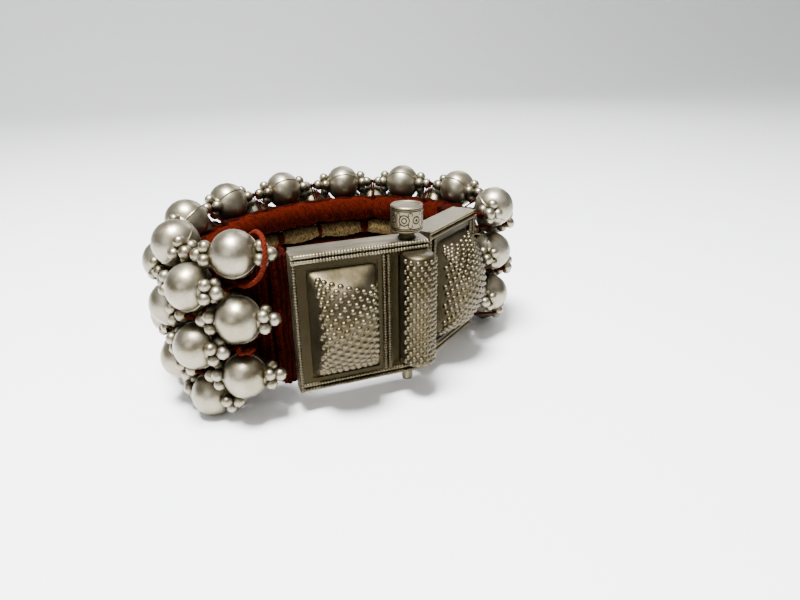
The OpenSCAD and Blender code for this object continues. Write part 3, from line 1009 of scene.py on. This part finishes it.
class BRACELET_OT_ties(Operator):
    """Tie the rows of balls to the cords: the rows' threads, the loops and a few loose turns."""

    bl_idname = "bracelet.ties"
    bl_label = "Tie the balls on"

    def execute(self, context):
        layout = laid_out(context)
        for row in range(ROWS):
            self.row_thread(layout, row)
        self.loops(layout)
        self.neck_loop(layout)
        self.knot(layout)
        return {"FINISHED"}

    def row_thread(self, layout, row):
        """Doubled thread, which shows only between the balls and at the row's ends."""
        shape = Shape()
        columns = list(layout.row_columns(row))
        reach = np.array((layout.tip_x + 0.2, 0.0, 0.0))
        ends = [
            [layout.ball_spot(c, row) + side * (layout.ball_turn(c, row) @ reach)
             for side in (-1, 1)] for c in columns]
        for before, after in zip(ends[:-1], ends[1:]):
            middle = (before[1] + after[0]) / 2
            path = smooth_path((before[1], middle, after[0]), 4)
            wound(shape, path, layout.thread_r, *THREAD_TWIST)
        for column, end, place in ((columns[0], ends[0][0], layout.left_box),
                                   (columns[-1], ends[-1][1], layout.right_end)):
            roll = self.roll_spot(layout, end[2], place)
            inward = lifted(right_of(BAND.at(layout.column_at(column))[1]), 0.0)
            points = [end, end + inward * 3.0, (end * 0.6 + roll * 0.4) + inward * 4.5, roll]
            wound(shape, smooth_path(points, 5), layout.thread_r * 0.8, *LEAD_TWIST)
        make_piece("row_thread_%d_twist" % (row + 1), shape, layout, "shaded_red_cotton",
                   nodes=(ROW_THREADS[row],))

    def roll_spot(self, layout, height, place):
        """Where a row's lead goes into the roll at a box's end."""
        low = 2 * ROLL_INSET
        level = min(max(height - layout.box_z, low), layout.box_h - low)
        return place(np.array((-2.0, 7.2, level)))

    def loops(self, layout):
        red = Shape()
        khaki = Shape(mark=1)
        cords = ("cord_top", "cord_top", "cord_upper", "cord_lower", "cord_bottom", "cord_bottom")
        for row in range(ROWS):
            radius = layout.thread_r * (0.55 if row else 0.42)
            shape = khaki if row in (2, 3) else red
            # The top row's loops take the deepest red as painted shade.
            shape.mark = 1 if row in (0, 2, 3) else 0
            for column in layout.row_columns(row)[:-1]:
                for shift in (-0.3, 0.3):
                    path = tie_loop(layout, column + 1, row, cords[row], shift)
                    tube(shape, path, radius, sides=6, closed=True)
        make_piece("tie_loops_red", red, layout, "shaded_red_cotton",
                   darker="deep_shade_red_cotton")
        make_piece("tie_loops_khaki", khaki, layout, "khaki_yarn")

    def neck_loop(self, layout):
        """Loose cord round the neck of the first top ball."""
        centre = layout.ball_spot(0, 0)
        steps = ((2.6, -3.8, 2.6), (4.3, -1.6, 3.9), (5.9, 1.2, 3.6), (6.5, 2.9, 1.6),
                 (6.2, 3.3, -0.9), (5.1, 3.1, -3.3), (3.2, 2.3, -5.1), (1.0, 0.6, -6.2),
                 (-0.9, -2.0, -6.4))
        points = [layout.off_first_column(centre, *step) for step in steps]
        shape = Shape()
        wound(shape, smooth_path(points, 8), *NECK_TWIST)
        make_piece("neck_loop", shape, layout, "bright_red_cotton")

    def knot(self, layout):
        """Bunched cotton between the second and third balls of the first column."""
        centre = (layout.ball_spot(0, 2) + layout.ball_spot(0, 4)) / 2
        shape = Shape()
        rng = np.random.default_rng(4)
        for turn in range(7):
            points = []
            tilt = rng.uniform(-0.5, 0.5)
            for step in range(6):
                angle = step * math.pi / 3 + turn * 0.9
                forward = 1.0 + rng.uniform(0.7, 1.7) * math.cos(angle)
                outward = 1.3 + rng.uniform(0.4, 1.2) * math.sin(angle)
                up = tilt * math.cos(angle) + rng.uniform(-0.35, 0.35)
                points.append(layout.off_first_column(centre, forward, outward, up))
            shape.mark = 1 if turn % 3 == 2 else 0
            wound(shape, smooth_path(points, 6, closed=True), *KNOT_TWIST)
        make_piece("ball_knot", shape, layout, "bright_red_cotton",
                   darker="shaded_red_cotton")


def beside_box(left, distance, out, along=0.0):
    """Place in the plan by its distance from a box's end, out of the band and along it."""
    spot, heading = BAND.at(distance if left else BAND.length - distance)
    return spot - right_of(heading) * out + towards(heading) * along


class BRACELET_OT_end_rolls(Operator):
    """Bunch the cotton upright at each box's end."""

    bl_idname = "bracelet.end_rolls"
    bl_label = "Bunch the ends"

    def execute(self, context):
        layout = laid_out(context)
        for name, place, left in (("end_roll_left", layout.left_box, True),
                                  ("end_roll_right", layout.right_end, False)):
            core, red = Shape(), Shape()
            self.bunch(layout, core, red, place)
            self.whipping(layout, core, red, left)
            make_piece(name + "_core", core, layout, "deep_shade_red_cotton",
                       nodes=(name,))
            make_piece(name + "_strands", red, layout, "shaded_red_cotton",
                       darker="deep_shade_red_cotton")
        return {"FINISHED"}

    def whipping(self, layout, core, shape, left):
        """Turns of cotton laid upright round all five cords beside the roll."""
        radius, height = layout.cords["cord_top"]
        high = height - layout.mid_z + radius + 0.35
        outer = -(layout.ball_r + SKIN_GAP) + 0.1
        inner = outer - 2 * radius - 0.6
        middle = (outer + inner) / 2
        self.filling(layout, core, left, outer - 0.5, inner + 0.5, high * 0.9)
        section = [(outer, -high * 0.96), (outer + 0.25, -high * 0.4), (outer + 0.15, high * 0.3),
                   (outer, high * 0.96), (middle, high), (inner, high * 0.93),
                   (inner - 0.1, 0.0), (inner, -high * 0.93), (middle, -high)]
        rng = np.random.default_rng(21 if left else 22)
        for turn in range(7 if left else 5):
            distance = CORD_START + 0.9 + turn * 0.95
            lean = rng.uniform(-0.35, 0.35)
            points = []
            for out, up in section:
                along = lean * up / high + rng.uniform(-0.12, 0.12)
                points.append(lifted(beside_box(left, distance, out, along), layout.mid_z + up))
            # Some turns take the deepest red as painted shade.
            shape.mark = 1 if turn in (1, 3, 4) else 0
            wound(shape, smooth_path(points, 6, closed=True), *WHIP_TWIST)

    def filling(self, layout, core, left, outer, inner, high):
        """Dark cotton that fills the whipping and reaches into the roll; its dark red is painted shade.
        """
        section = ((outer, -high), (outer, 0.0), (outer, high),
                   (inner, high), (inner, 0.0), (inner, -high))
        rows = []
        for distance in np.linspace(-0.5, CORD_START + (6.6 if left else 4.7), 9):
            rows.append([lifted(beside_box(left, distance, out), layout.mid_z + up)
                         for out, up in section])
        core.grid(rows, round_v=True)
        core.cap_ends(rows)

    def outline(self, turn, radius):
        """Point of the flattened roll's outline, the turn counted from 0 to 1."""
        straight = ROLL_BACK - ROLL_FRONT
        distance = (turn % 1.0) * (2 * straight + 2 * math.pi * radius)
        if distance < straight:
            return ROLL_X - radius, ROLL_FRONT + distance
        distance -= straight
        if distance < math.pi * radius:
            angle = math.pi - distance / radius
            return ROLL_X + radius * math.cos(angle), ROLL_BACK + radius * math.sin(angle)
        distance -= math.pi * radius
        if distance < straight:
            return ROLL_X + radius, ROLL_BACK - distance
        angle = -(distance - straight) / radius
        return ROLL_X + radius * math.cos(angle), ROLL_FRONT + radius * math.sin(angle)

    def bunch(self, layout, core, red, place):
        """The roll's dark core and the strands that stand round it; the core's dark red is painted shade.
        """
        low, high = ROLL_INSET, layout.box_h - ROLL_INSET
        sides = 28
        rows = [place([(*self.outline(k / sides, ROLL_R), z) for k in range(sides)])
                for z in np.linspace(low, high, 24)]
        core.grid(rows, round_v=True)
        core.cap_ends(rows)
        rng = np.random.default_rng(7)
        strands = 15
        for k in range(strands):
            sway = rng.uniform(0.0, 2 * math.pi, 3)
            points = []
            for z in np.linspace(low + 0.1, high - 0.1, 13):
                drift = 0.010 * math.sin(z * 0.45 + sway[0]) + 0.006 * math.sin(z * 1.1 + sway[1])
                depth = ROLL_R + 0.05 + 0.10 * math.sin(z * 0.8 + sway[2])
                points.append((*self.outline(k / strands + drift, depth), z))
            # Every third strand takes the deepest red as painted shade.
            red.mark = 1 if k % 3 == 1 else 0
            wound(red, smooth_path(place(points), 4, side=(1.0, 0.0, 0.0)), *BUNCH_TWIST)


# Balls

# Grains of a ball's end: the ring of four and its radius, the collar, the tip and the neck
RING_GRAIN_R = 1.27
RING_R = 1.80
COLLAR_R = 2.45
TIP_R = 1.38
NECK_R = 0.85
# A seam band's height over the shell and its half-width
SEAM_HEIGHT = 0.13
SEAM_HALF = 0.15
# How fast a ball's shell widens from its axis
SHELL_RISE = 4.0


def ball_template(layout):
    """One ball along the X axis: body, seam band and both grain clusters."""
    shape = Shape()
    flat = layout.ball_r - layout.ball_half
    turn = circle(36)
    rows = []
    for angle in np.linspace(0.0, math.pi, 25):
        ring = flat * min(1.0, math.sin(angle) * SHELL_RISE) + layout.ball_half * math.sin(angle)
        ring = max(ring, 0.05)
        rows.append(np.stack((
            np.full(len(turn), layout.ball_half * math.cos(angle)),
            ring * np.cos(turn), ring * np.sin(turn)), axis=-1))
    shape.grid(rows, round_v=True)
    shape.cap_ends(rows)
    seam_band(shape, layout, flat)
    for side in (-1, 1):
        half, tip = side * layout.ball_half, side * layout.tip_x
        cluster = [(round_grain(COLLAR_R, 18, 8), half - side * 1.6, 0.0, 0.0)]
        for turned in np.radians((30.0, 120.0, 210.0, 300.0)):
            cluster.append((round_grain(RING_GRAIN_R, 12, 8), half + side * 0.85,
                            RING_R * math.cos(turned), RING_R * math.sin(turned)))
        cluster.append((round_grain(TIP_R, 14, 10), tip - side * 0.2, 0.0, 0.0))
        for grain, *spot in cluster:
            copies(shape, grain, [(np.array(spot), np.eye(3))])
        neck = Path(((half - side * 0.5, 0.0, 0.0), (tip, 0.0, 0.0)))
        tube(shape, neck, NECK_R, 12, caps=False)
    return shape


def seam_band(shape, layout, flat):
    """Raised joint of the ball's two halves, lengthwise round it."""
    angle = circle(56)
    outward = np.stack((np.cos(angle), np.zeros(len(angle)), np.sin(angle)), axis=-1)
    centre = outward * (layout.ball_half + 0.02)
    centre[:, 2] += flat * np.clip(np.sin(angle) * SHELL_RISE, -1.0, 1.0)
    section = circle(6)
    points = (centre[:, None, :]
              + SEAM_HEIGHT * np.cos(section)[None, :, None] * outward[:, None, :]
              + SEAM_HALF * np.sin(section)[None, :, None] * np.array((0.0, 1.0, 0.0)))
    shape.grid(points, round_u=True, round_v=True)


class BRACELET_OT_balls(Operator):
    """Thread six rows of silver balls, each ball with its seam and grain clusters."""

    bl_idname = "bracelet.balls"
    bl_label = "Thread the balls"

    def execute(self, context):
        layout = laid_out(context)
        template = ball_template(layout)
        rng = np.random.default_rng(11)
        for row in range(ROWS):
            shape = Shape()
            places = []
            for column in layout.row_columns(row):
                turn = layout.ball_turn(column, row)
                tilt = Matrix.Rotation(math.radians(rng.uniform(-3.0, 3.0)), 3, "X")
                places.append((layout.ball_spot(column, row), turn @ np.array(tilt)))
            copies(shape, template, places)
            make_piece("ball_row_%d" % (row + 1), shape, layout, "ball_silver",
                       nodes=(BALL_ROWS[row],))
        return {"FINISHED"}


# Clasp, in a box's own frame

# A cushion's foot above its box's, its size, its middle in each box and its field's depth
FOOT_Z = 3.2
CUSHION_W = 14.4
CUSHION_H = 23.2
LEFT_MIDDLE = 10.1
RIGHT_MIDDLE = 11.4
SUNK = 0.5
# Start of a cutter in front of a box, and the width of a box's worn edges
CLEAR = -1.0
WORN_EDGE = 0.14
# Rubbed rim round a box's front, inside which the recesses are dark down to a depth
RUBBED_RIM = 0.3
DARK_DEPTH = 3.0
# Radius of an edge wire and the step between two of them
WIRE = 0.4
WIRE_STEP = 1.1
INSET = 2 * WIRE + WIRE_STEP
# Half-height and depth of the dark channel between two edge wires
CHANNEL_HALF = 0.35
CHANNEL_DEPTH = 0.5
# Upright wires of the left box's divider, and from the right box's ends to its own
DIVIDER = (18.75, 19.75)
RIGHT_DIVIDER = 2.4
# Length over which a worn wire's beads come back, and the share of them that is left at first
WORN_FADE = 3.0
WORN_LEFT = 0.25
# Sides of the groove beside the strip, the slot under the strip and the tongue in it
GROOVE = (20.5, 22.4)
SLOT_X = 23.2
SLOT_HALF = 5.0
TONGUE_HALF_H = 4.8
TONGUE_R = 1.8
# The pin, its bore, and the round seat of a roll in a box's end
PIN_SPOT = (24.9, 2.8)
SHAFT_R = 1.25
BORE_R = 1.31
SEAT_R = 2.0
# Half-round strip over the pin, and the turn and the rise between its grains
STRIP_X = 25.7
STRIP_R = 3.3
STRIP_OUT = 5.2
STRIP_FOOT = 3.3
STRIP_TOP_GAP = 2.1
STRIP_TURN = 13.3
STRIP_STEP = 1.13
# How far each side of a cushion leans in, the height of its walls and the fall of its sides
LEAN_X = 1.2
LEAN_Z = 2.2
WALL = 3.6
SIDE_FALL = 1.9
# Steps of the cushion's slanting rows and columns of grains, and how many are tried
GRAIN_ROW = (1.52, -0.68)
GRAIN_COLUMN = (0.50, -1.78)
GRAIN_REACH = 20
# How deep a grain sits and how far it strays, and the step that gives the slope under it
GRAIN_SINK = 0.25
GRAIN_STRAY = 0.03
SLOPE_STEP = 0.05
# Ring and dot patterns round the pin's head
MEDALLIONS = 8


def box_mesh(name, low, high):
    work = bmesh.new()
    bmesh.ops.create_cube(work, size=1.0)
    low, high = np.array(low, float), np.array(high, float)
    for vert in work.verts:
        vert.co = (np.array(vert.co) + 0.5) * (high - low) + low
    return finished(name, work)


def upright_hole(name, x, y, radius, height):
    """Round cutter that goes right through a box of the given height."""
    work = bmesh.new()
    bmesh.ops.create_cone(work, cap_ends=True, segments=48, radius1=radius, radius2=radius,
                          depth=height + 2.0)
    for vert in work.verts:
        vert.co = (vert.co.x + x, vert.co.y + y, vert.co.z + height / 2)
    return finished(name, work)


def finished(name, work):
    mesh = bpy.data.meshes.new(name)
    work.to_mesh(mesh)
    work.free()
    thing = bpy.data.objects.new(name, mesh)
    bpy.context.scene.collection.objects.link(thing)
    return thing


def wire_channels(width, height, uprights):
    """Dark channels between the pairs of edge wires."""
    middle = WIRE + WIRE_STEP / 2
    cuts = [box_mesh("channel", (0.6, CLEAR, z - CHANNEL_HALF),
                     (width - 0.1, CHANNEL_DEPTH, z + CHANNEL_HALF))
            for z in (middle, height - middle)]
    low, high = uprights
    cuts.append(box_mesh("upright_channel", (low + 0.2, CLEAR, INSET),
                         (high - 0.2, CHANNEL_DEPTH, height - INSET)))
    return cuts


def sunk_field(middle, margin, foot):
    """Cutter for the sunk field round a cushion."""
    half = CUSHION_W / 2 + margin
    return box_mesh("field", (middle - half, CLEAR, FOOT_Z - foot),
                    (middle + half, SUNK, FOOT_Z + CUSHION_H + 0.6))


def carved(block, cutters):
    """Block less its cutters, its edges slightly worn, as a shape with dark fronts: tarnish in the
    recesses, painted shade on the faces turned to the front.
    """
    for cutter in cutters:
        cut = block.modifiers.new(cutter.name, "BOOLEAN")
        cut.operation = "DIFFERENCE"
        cut.solver = "EXACT"
        cut.object = cutter
    worn = block.modifiers.new("worn_edges", "BEVEL")
    worn.width = WORN_EDGE
    worn.segments = 2
    worn.limit_method = "ANGLE"
    worn.angle_limit = math.radians(50.0)
    ready = block.evaluated_get(bpy.context.evaluated_depsgraph_get())
    mesh = bpy.data.meshes.new_from_object(ready)
    high = max(vert.co.z for vert in mesh.vertices)
    wide = max(vert.co.x for vert in mesh.vertices)
    marks = []
    for face in mesh.polygons:
        x, y, z = face.center
        within = RUBBED_RIM < x < wide - RUBBED_RIM and RUBBED_RIM < z < high - RUBBED_RIM
        recessed = within and 0.03 < y < DARK_DEPTH
        # Recesses are marked for their tarnish, and every face turned to the front for painted shade.
        marks.append(1 if recessed or face.normal.y < -0.95 else 0)
    shape = Shape()
    shape.add([tuple(vert.co) for vert in mesh.vertices],
              [list(face.vertices) for face in mesh.polygons], marks)
    for thing in [block, *cutters]:
        bpy.data.objects.remove(thing)
    return shape


def beaded_wire(shape, start, end, pitch, radius=WIRE, plain=0.0):
    """Straight wire rolled into a row of small beads; its first part may be worn plain."""
    path = Path(np.linspace(start, end, 2), side=(0.3, 0.2, 1.0))

    def size(distance):
        worn = np.clip((distance - plain + WORN_FADE) / WORN_FADE, WORN_LEFT, 1.0) if plain else 1.0
        wave = np.abs(np.sin(math.pi * distance / pitch)) ** 0.6
        return radius * (1.08 - 0.52 * worn * (1.0 - wave))

    tube(shape, path, size, sides=8, step=pitch / 5)


def cushion_height(layout, x, z):
    """Height of a cushion over its panel at places from its middle."""
    half_x = CUSHION_W / 2 - LEAN_X
    half_z = CUSHION_H / 2 - LEAN_Z
    drop = (layout.crown - WALL) * (z / half_z) ** 2 + SIDE_FALL * (x / half_x) ** 2
    height = layout.crown - drop * np.minimum(1.0, 0.82 + 0.18 * np.abs(z / half_z))
    for size, place, lean, soft in ((CUSHION_W, x, LEAN_X, 1.1), (CUSHION_H, z, LEAN_Z, 0.8)):
        wall = (size / 2 - np.abs(place)) * WALL / lean - SUNK
        mix = np.clip(0.5 + 0.5 * (wall - height) / soft, 0.0, 1.0)
        height = wall + (height - wall) * mix - soft * mix * (1.0 - mix)
    return height


def arc_places(height, half):
    """Lengths along a curved height from its middle, and the places they reach."""
    fine = np.linspace(0.0, half - 0.02, 400)
    heights = np.array([float(height(place)) for place in fine])
    along = np.concatenate(([0.0], np.cumsum(np.hypot(np.diff(fine), np.diff(heights)))))
    return along, fine


def cushion(layout, middle_x, bare=0.0):
    """Domed cushion with its granulation; bare is the plain ground's depth at one upper corner."""
    shape = Shape(mark=1)

    def rows(half, edge, count):
        rim = np.linspace(half, half - edge, 9)
        inner = np.linspace(-half + edge, half - edge, count)[1:-1]
        return np.concatenate((-rim, inner, rim[::-1]))

    half_w, half_h = CUSHION_W / 2, CUSHION_H / 2
    middle_z = FOOT_Z + half_h
    x, z = np.meshgrid(rows(half_w, 2.2, 20), rows(half_h, 3.0, 32), indexing="ij")
    shape.grid(np.stack((x + middle_x, -cushion_height(layout, x, z), z + middle_z), axis=-1))
    across = arc_places(lambda x: cushion_height(layout, x, 0.0), half_w)
    upward = arc_places(lambda z: cushion_height(layout, 0.0, z), half_h)
    low_x = (1.3 if bare else 0.6) - half_w
    spots = []
    rng = np.random.default_rng(5)
    reach = range(-GRAIN_REACH, GRAIN_REACH + 1)
    for i, k in ((i, k) for i in reach for k in reach):
        stray = rng.uniform(-GRAIN_STRAY, GRAIN_STRAY, 2)
        u, v = np.array(GRAIN_ROW) * i + np.array(GRAIN_COLUMN) * k + stray
        if abs(u) > across[0][-1] or abs(v) > upward[0][-1]:
            continue
        gx = math.copysign(np.interp(abs(u), *across), u)
        gz = math.copysign(np.interp(abs(v), *upward), v)
        top = half_h - 1.0 - bare * (gx / CUSHION_W + 0.5)
        if not (low_x < gx < half_w - 0.5 and 0.5 - half_h < gz < top):
            continue
        height, beside, above = (
            float(cushion_height(layout, *place))
            for place in ((gx, gz), (gx + SLOPE_STEP, gz), (gx, gz + SLOPE_STEP)))
        normal = np.array(((height - beside) / SLOPE_STEP, -1.0, (height - above) / SLOPE_STEP))
        inward = -GRAIN_SINK * normal / np.linalg.norm(normal)
        place = np.array((gx + middle_x, -height, gz + middle_z)) + inward
        spots.append((place, facing(normal)))
    shape.mark = 0
    copies(shape, round_grain(0.70, 10, 6, 0.95), spots)
    return shape


def pin_strip(layout):
    """Half-round front over the pin, with a plain flat cap and granulation."""
    shape = Shape(mark=1)
    centre_y = STRIP_R - STRIP_OUT
    outline = [(STRIP_X - STRIP_R, 0.4),
               *arc((STRIP_X, centre_y), STRIP_R, -math.pi, 0.0, 31),
               (STRIP_X + STRIP_R, 0.4)]
    high = layout.box_h - STRIP_TOP_GAP
    rows = []
    for inset, z in ((0.25, STRIP_FOOT), (0.0, STRIP_FOOT + 0.25), (0.0, high - 0.5), (0.5, high)):
        rows.append([(STRIP_X + (x - STRIP_X) * (1 - inset / STRIP_R),
                      y if y > 0 else y - inset * y / STRIP_OUT, z) for x, y in outline])
    shape.grid(rows)
    shape.mark = 0
    shape.cap_ends(rows, ((STRIP_X, -1.5, STRIP_FOOT), (STRIP_X, -1.5, high)))
    spots = []
    for i in range(-6, 7):
        turned = math.radians(i * STRIP_TURN)
        normal = np.array((math.sin(turned), -math.cos(turned), 0.0))
        for k in range(i % 2, 21, 2):
            middle = np.array((STRIP_X, centre_y, STRIP_FOOT + 0.8 + k * STRIP_STEP))
            spots.append((middle + (STRIP_R - 0.08) * normal, facing(normal)))
    copies(shape, round_grain(0.56, 10, 6), spots)
    return shape


class BRACELET_OT_clasp_left(Operator):
    """Build the left box: sunk panel, cushion, beaded wires and the strip over the pin."""

    bl_idname = "bracelet.clasp_left"
    bl_label = "Build the left box"

    def execute(self, context):
        layout = laid_out(context)
        pitch, height = layout.bead_pitch, layout.box_h
        cutters = [
            sunk_field(LEFT_MIDDLE, 0.15, 0.4),
            box_mesh("groove", (GROOVE[0], CLEAR, INSET), (GROOVE[1], 1.6, height - INSET)),
            box_mesh("under_strip", (GROOVE[1] - 0.05, CLEAR, INSET),
                     (LEFT_WIDTH + 1, 0.35, height - INSET)),
            *wire_channels(LEFT_WIDTH, height, DIVIDER),
            box_mesh("slot", (SLOT_X, 0.6, height / 2 - SLOT_HALF),
                     (30.0, 7.0, height / 2 + SLOT_HALF)),
            upright_hole("bore", *PIN_SPOT, BORE_R, height),
            upright_hole("seat", ROLL_X, ROLL_FRONT, SEAT_R, height),
        ]
        block = box_mesh("left_block", (0, 0, 0), (LEFT_WIDTH, BOX_DEPTH, height))
        box = placed(layout.left_box, carved(block, cutters))
        make_piece("left_box", box, layout, "rubbed_silver",
                   nodes=("clasp_left",), sharp=35.0, darker="tarnish_and_shade_silver")
        trim = Shape()
        for z in (height - WIRE - WIRE_STEP, height - WIRE):
            beaded_wire(trim, (0, 0, z), (LEFT_WIDTH, 0, z), pitch, plain=6.0)
        trim.mark = 1
        for z in (WIRE, WIRE + WIRE_STEP):
            beaded_wire(trim, (0, 0, z), (LEFT_WIDTH, 0, z), pitch)
        beaded_wire(trim, (WIRE, 0, 0), (WIRE, 0, height), pitch)
        for x in DIVIDER:
            beaded_wire(trim, (x, 0, INSET), (x, 0, height - INSET), pitch, WIRE * 1.08)
        make_piece("left_wires", placed(layout.left_box, trim), layout, "rubbed_silver",
                   darker="granulated_silver")
        panel = placed(layout.left_box, cushion(layout, LEFT_MIDDLE, bare=2.8), pin_strip(layout))
        make_piece("left_granulation", panel, layout, "granulated_silver",
                   darker="plain_silver")
        return {"FINISHED"}


class BRACELET_OT_clasp_right(Operator):
    """Build the right box: sunk panel, cushion, edge wires and the tongue round the pin."""

    bl_idname = "bracelet.clasp_right"
    bl_label = "Build the right box"

    def execute(self, context):
        layout = laid_out(context)
        pitch, height = layout.bead_pitch, layout.box_h
        cutters = [
            sunk_field(RIGHT_MIDDLE, 0.6, 0.6),
            upright_hole("seat", RIGHT_WIDTH - ROLL_X, ROLL_FRONT, SEAT_R, height),
            *wire_channels(RIGHT_WIDTH, height, (WIRE, RIGHT_DIVIDER)),
        ]
        block = box_mesh("right_block", (0, 0, 0), (RIGHT_WIDTH, BOX_DEPTH, height))
        box = placed(layout.right_box, carved(block, cutters))
        self.tongue(box, layout)
        make_piece("right_box", box, layout, "rubbed_silver",
                   nodes=("clasp_right",), sharp=35.0, darker="tarnish_and_shade_silver")
        trim = Shape()
        for z in (WIRE, WIRE + WIRE_STEP, height - WIRE - WIRE_STEP, height - WIRE):
            beaded_wire(trim, (0, 0, z), (RIGHT_WIDTH, 0, z), pitch)
        for x, inset in ((WIRE, 0), (RIGHT_WIDTH - WIRE, 0),
                         (RIGHT_DIVIDER, INSET), (RIGHT_WIDTH - RIGHT_DIVIDER, INSET)):
            beaded_wire(trim, (x, 0, inset), (x, 0, height - inset), pitch)
        panel = placed(layout.right_box, trim, cushion(layout, RIGHT_MIDDLE))
        make_piece("right_granulation", panel, layout, "granulated_silver",
                   darker="plain_silver")
        return {"FINISHED"}

    def tongue(self, shape, layout):
        """Flat arm from the right box to the eye round the pin."""
        root = RIGHT_CORNER + BOX_DEPTH / 2 * towards(CLASP_BEND + 90) + towards(CLASP_BEND)
        away = root - np.array(PIN_SPOT)
        angle = math.atan2(away[1], away[0])
        side = TONGUE_R * np.array((-math.sin(angle), math.cos(angle)))
        eye = arc(PIN_SPOT, TONGUE_R, angle + math.pi / 2, angle + math.pi * 3 / 2, 17)
        rows = [[(x, y, layout.mid_z + z) for x, y in (root - side, root + side, *eye)]
                for z in (-TONGUE_HALF_H, TONGUE_HALF_H)]
        shape.grid(rows, round_v=True)
        shape.cap_ends(rows)


class BRACELET_OT_pin(Operator):
    """Turn the pin: round shaft, neck and a drum head with cut rings and scrolls."""

    bl_idname = "bracelet.pin"
    bl_label = "Turn the pin"

    def execute(self, context):
        layout = laid_out(context)
        radius = layout.head_r
        base = layout.box_z + layout.box_h + 0.05
        low = base + 1.6
        high = millimetres(PIN_BOX[1].z)
        foot = millimetres(PIN_BOX[0].z)
        shape = Shape()
        self.lathe(shape, [(0.05, foot), (0.7, foot + 0.05), (1.1, foot + 0.3),
                           (SHAFT_R, foot + 0.8), (SHAFT_R, base)])
        # The neck under the head takes the dark silver as painted shade under the head.
        shape.mark = 1
        self.lathe(shape, [(SHAFT_R, base), (1.8, base), (1.8, base + 0.2), (1.5, base + 0.6),
                           (1.6, low - 0.3), (2.2, low - 0.1)])
        shape.mark = 0
        self.lathe(shape, [(2.2, low - 0.1), (radius - 0.3, low - 0.1), (radius, low + 0.2)])
        self.drum(shape, radius, low + 0.2, high - 0.2)
        self.lathe(shape, [(radius, high - 0.2), (radius - 0.12, high - 0.04),
                           (radius - 0.3, high), (radius - 0.5, high - 0.05),
                           (radius - 0.62, high - 0.2), (0.4 * radius, high - 0.16),
                           (0.05, high - 0.14)])
        make_piece("pin_with_head", shape, layout, "rubbed_silver",
                   body="pin", nodes=("clasp_pin",), sharp=60.0, darker="tarnish_and_shade_silver")
        return {"FINISHED"}

    def lathe(self, shape, profile):
        """Skin turned round the pin's axis from (radius, height) points."""
        turn = circle(48)
        rows = [np.stack((PIN_SPOT[0] + r * np.cos(turn), PIN_SPOT[1] + r * np.sin(turn),
                          np.full(len(turn), z)), axis=-1) for r, z in profile]
        shape.grid(rows, round_v=True)

    def drum(self, shape, radius, low, high):
        """Side of the head: a fine grid pressed in along rings, dots and lines."""
        turn = circle(240)
        rise = np.linspace(low, high, 60)
        around, up = np.meshgrid(turn * radius, rise - (low + high) / 2)
        depth = np.zeros_like(around)

        def press(distance, width, amount):
            return amount * np.exp(-(distance / width) ** 2)

        half = (high - low) / 2
        for line in (half - 0.30, half - 0.62, -half + 0.30, -half + 0.62):
            depth = np.maximum(depth, press(up - line, 0.09, 0.10))
        whole = 2 * math.pi * radius
        for i in range(MEDALLIONS):
            centre = (i + 0.3) * whole / MEDALLIONS
            across = (around - centre + whole / 2) % whole - whole / 2
            away = np.hypot(across, up)
            if i % 2:
                marks = [press(away - 1.05, 0.10, 0.13), press(away - 0.5, 0.09, 0.12)]
            else:
                marks = [press(away - 0.72, 0.10, 0.13), press(away, 0.2, 0.2)]
            for side in (-1, 1):
                curl = np.hypot(across - whole / (2 * MEDALLIONS), up - side * 1.15)
                marks.append(press(curl - 0.42, 0.08, 0.09) * (up * side > 0.8))
            for mark in marks:
                depth = np.maximum(depth, mark)
        size = radius - depth
        points = np.stack((PIN_SPOT[0] + size * np.cos(around / radius),
                           PIN_SPOT[1] + size * np.sin(around / radius),
                           np.broadcast_to(rise[:, None], size.shape)), axis=-1)
        pressed = cell_corners(np.hstack((depth, depth[:, :1])))
        first = len(shape.faces)
        shape.grid(points, round_v=True)
        shape.marks[first:] = (pressed.mean(axis=-1) > 0.035).astype(int).ravel().tolist()


class BRACELET_PT_pieces(Panel):
    """Lists the pieces of the bracelet with their sizes and colours."""

    bl_idname = "BRACELET_PT_pieces"
    bl_label = "Silver bracelet"
    bl_space_type = "VIEW_3D"
    bl_region_type = "UI"
    bl_category = "Bracelet"

    def draw(self, context):
        layout = self.layout
        for operator in OPERATORS:
            layout.operator(operator.bl_idname)
        groups = (context.scene.bracelet_sizes, context.scene.bracelet_colours,
                  context.scene.bracelet_stage)
        for group in groups:
            box = layout.box()
            for key in group.__annotations__:
                box.prop(group, key)


OPERATORS = (
    BRACELET_OT_camera,
    BRACELET_OT_cords,
    BRACELET_OT_ties,
    BRACELET_OT_end_rolls,
    BRACELET_OT_balls,
    BRACELET_OT_clasp_left,
    BRACELET_OT_clasp_right,
    BRACELET_OT_pin,
    BRACELET_OT_stage,
)
CLASSES = (BraceletSizes, BraceletColours, StageSettings, *OPERATORS, BRACELET_PT_pieces)


def register():
    for entry in CLASSES:
        bpy.utils.register_class(entry)
    bpy.types.Scene.bracelet_sizes = PointerProperty(type=BraceletSizes)
    bpy.types.Scene.bracelet_colours = PointerProperty(type=BraceletColours)
    bpy.types.Scene.bracelet_stage = PointerProperty(type=StageSettings)


def unregister():
    del bpy.types.Scene.bracelet_stage
    del bpy.types.Scene.bracelet_colours
    del bpy.types.Scene.bracelet_sizes
    for entry in reversed(CLASSES):
        bpy.utils.unregister_class(entry)


def main():
    register()
    bpy.ops.bracelet.camera()
    bpy.ops.bracelet.cords()
    bpy.ops.bracelet.ties()
    bpy.ops.bracelet.end_rolls()
    bpy.ops.bracelet.balls()
    bpy.ops.bracelet.clasp_left()
    bpy.ops.bracelet.clasp_right()
    bpy.ops.bracelet.pin()
    bpy.ops.bracelet.stage()


if __name__ == "__main__":
    main()
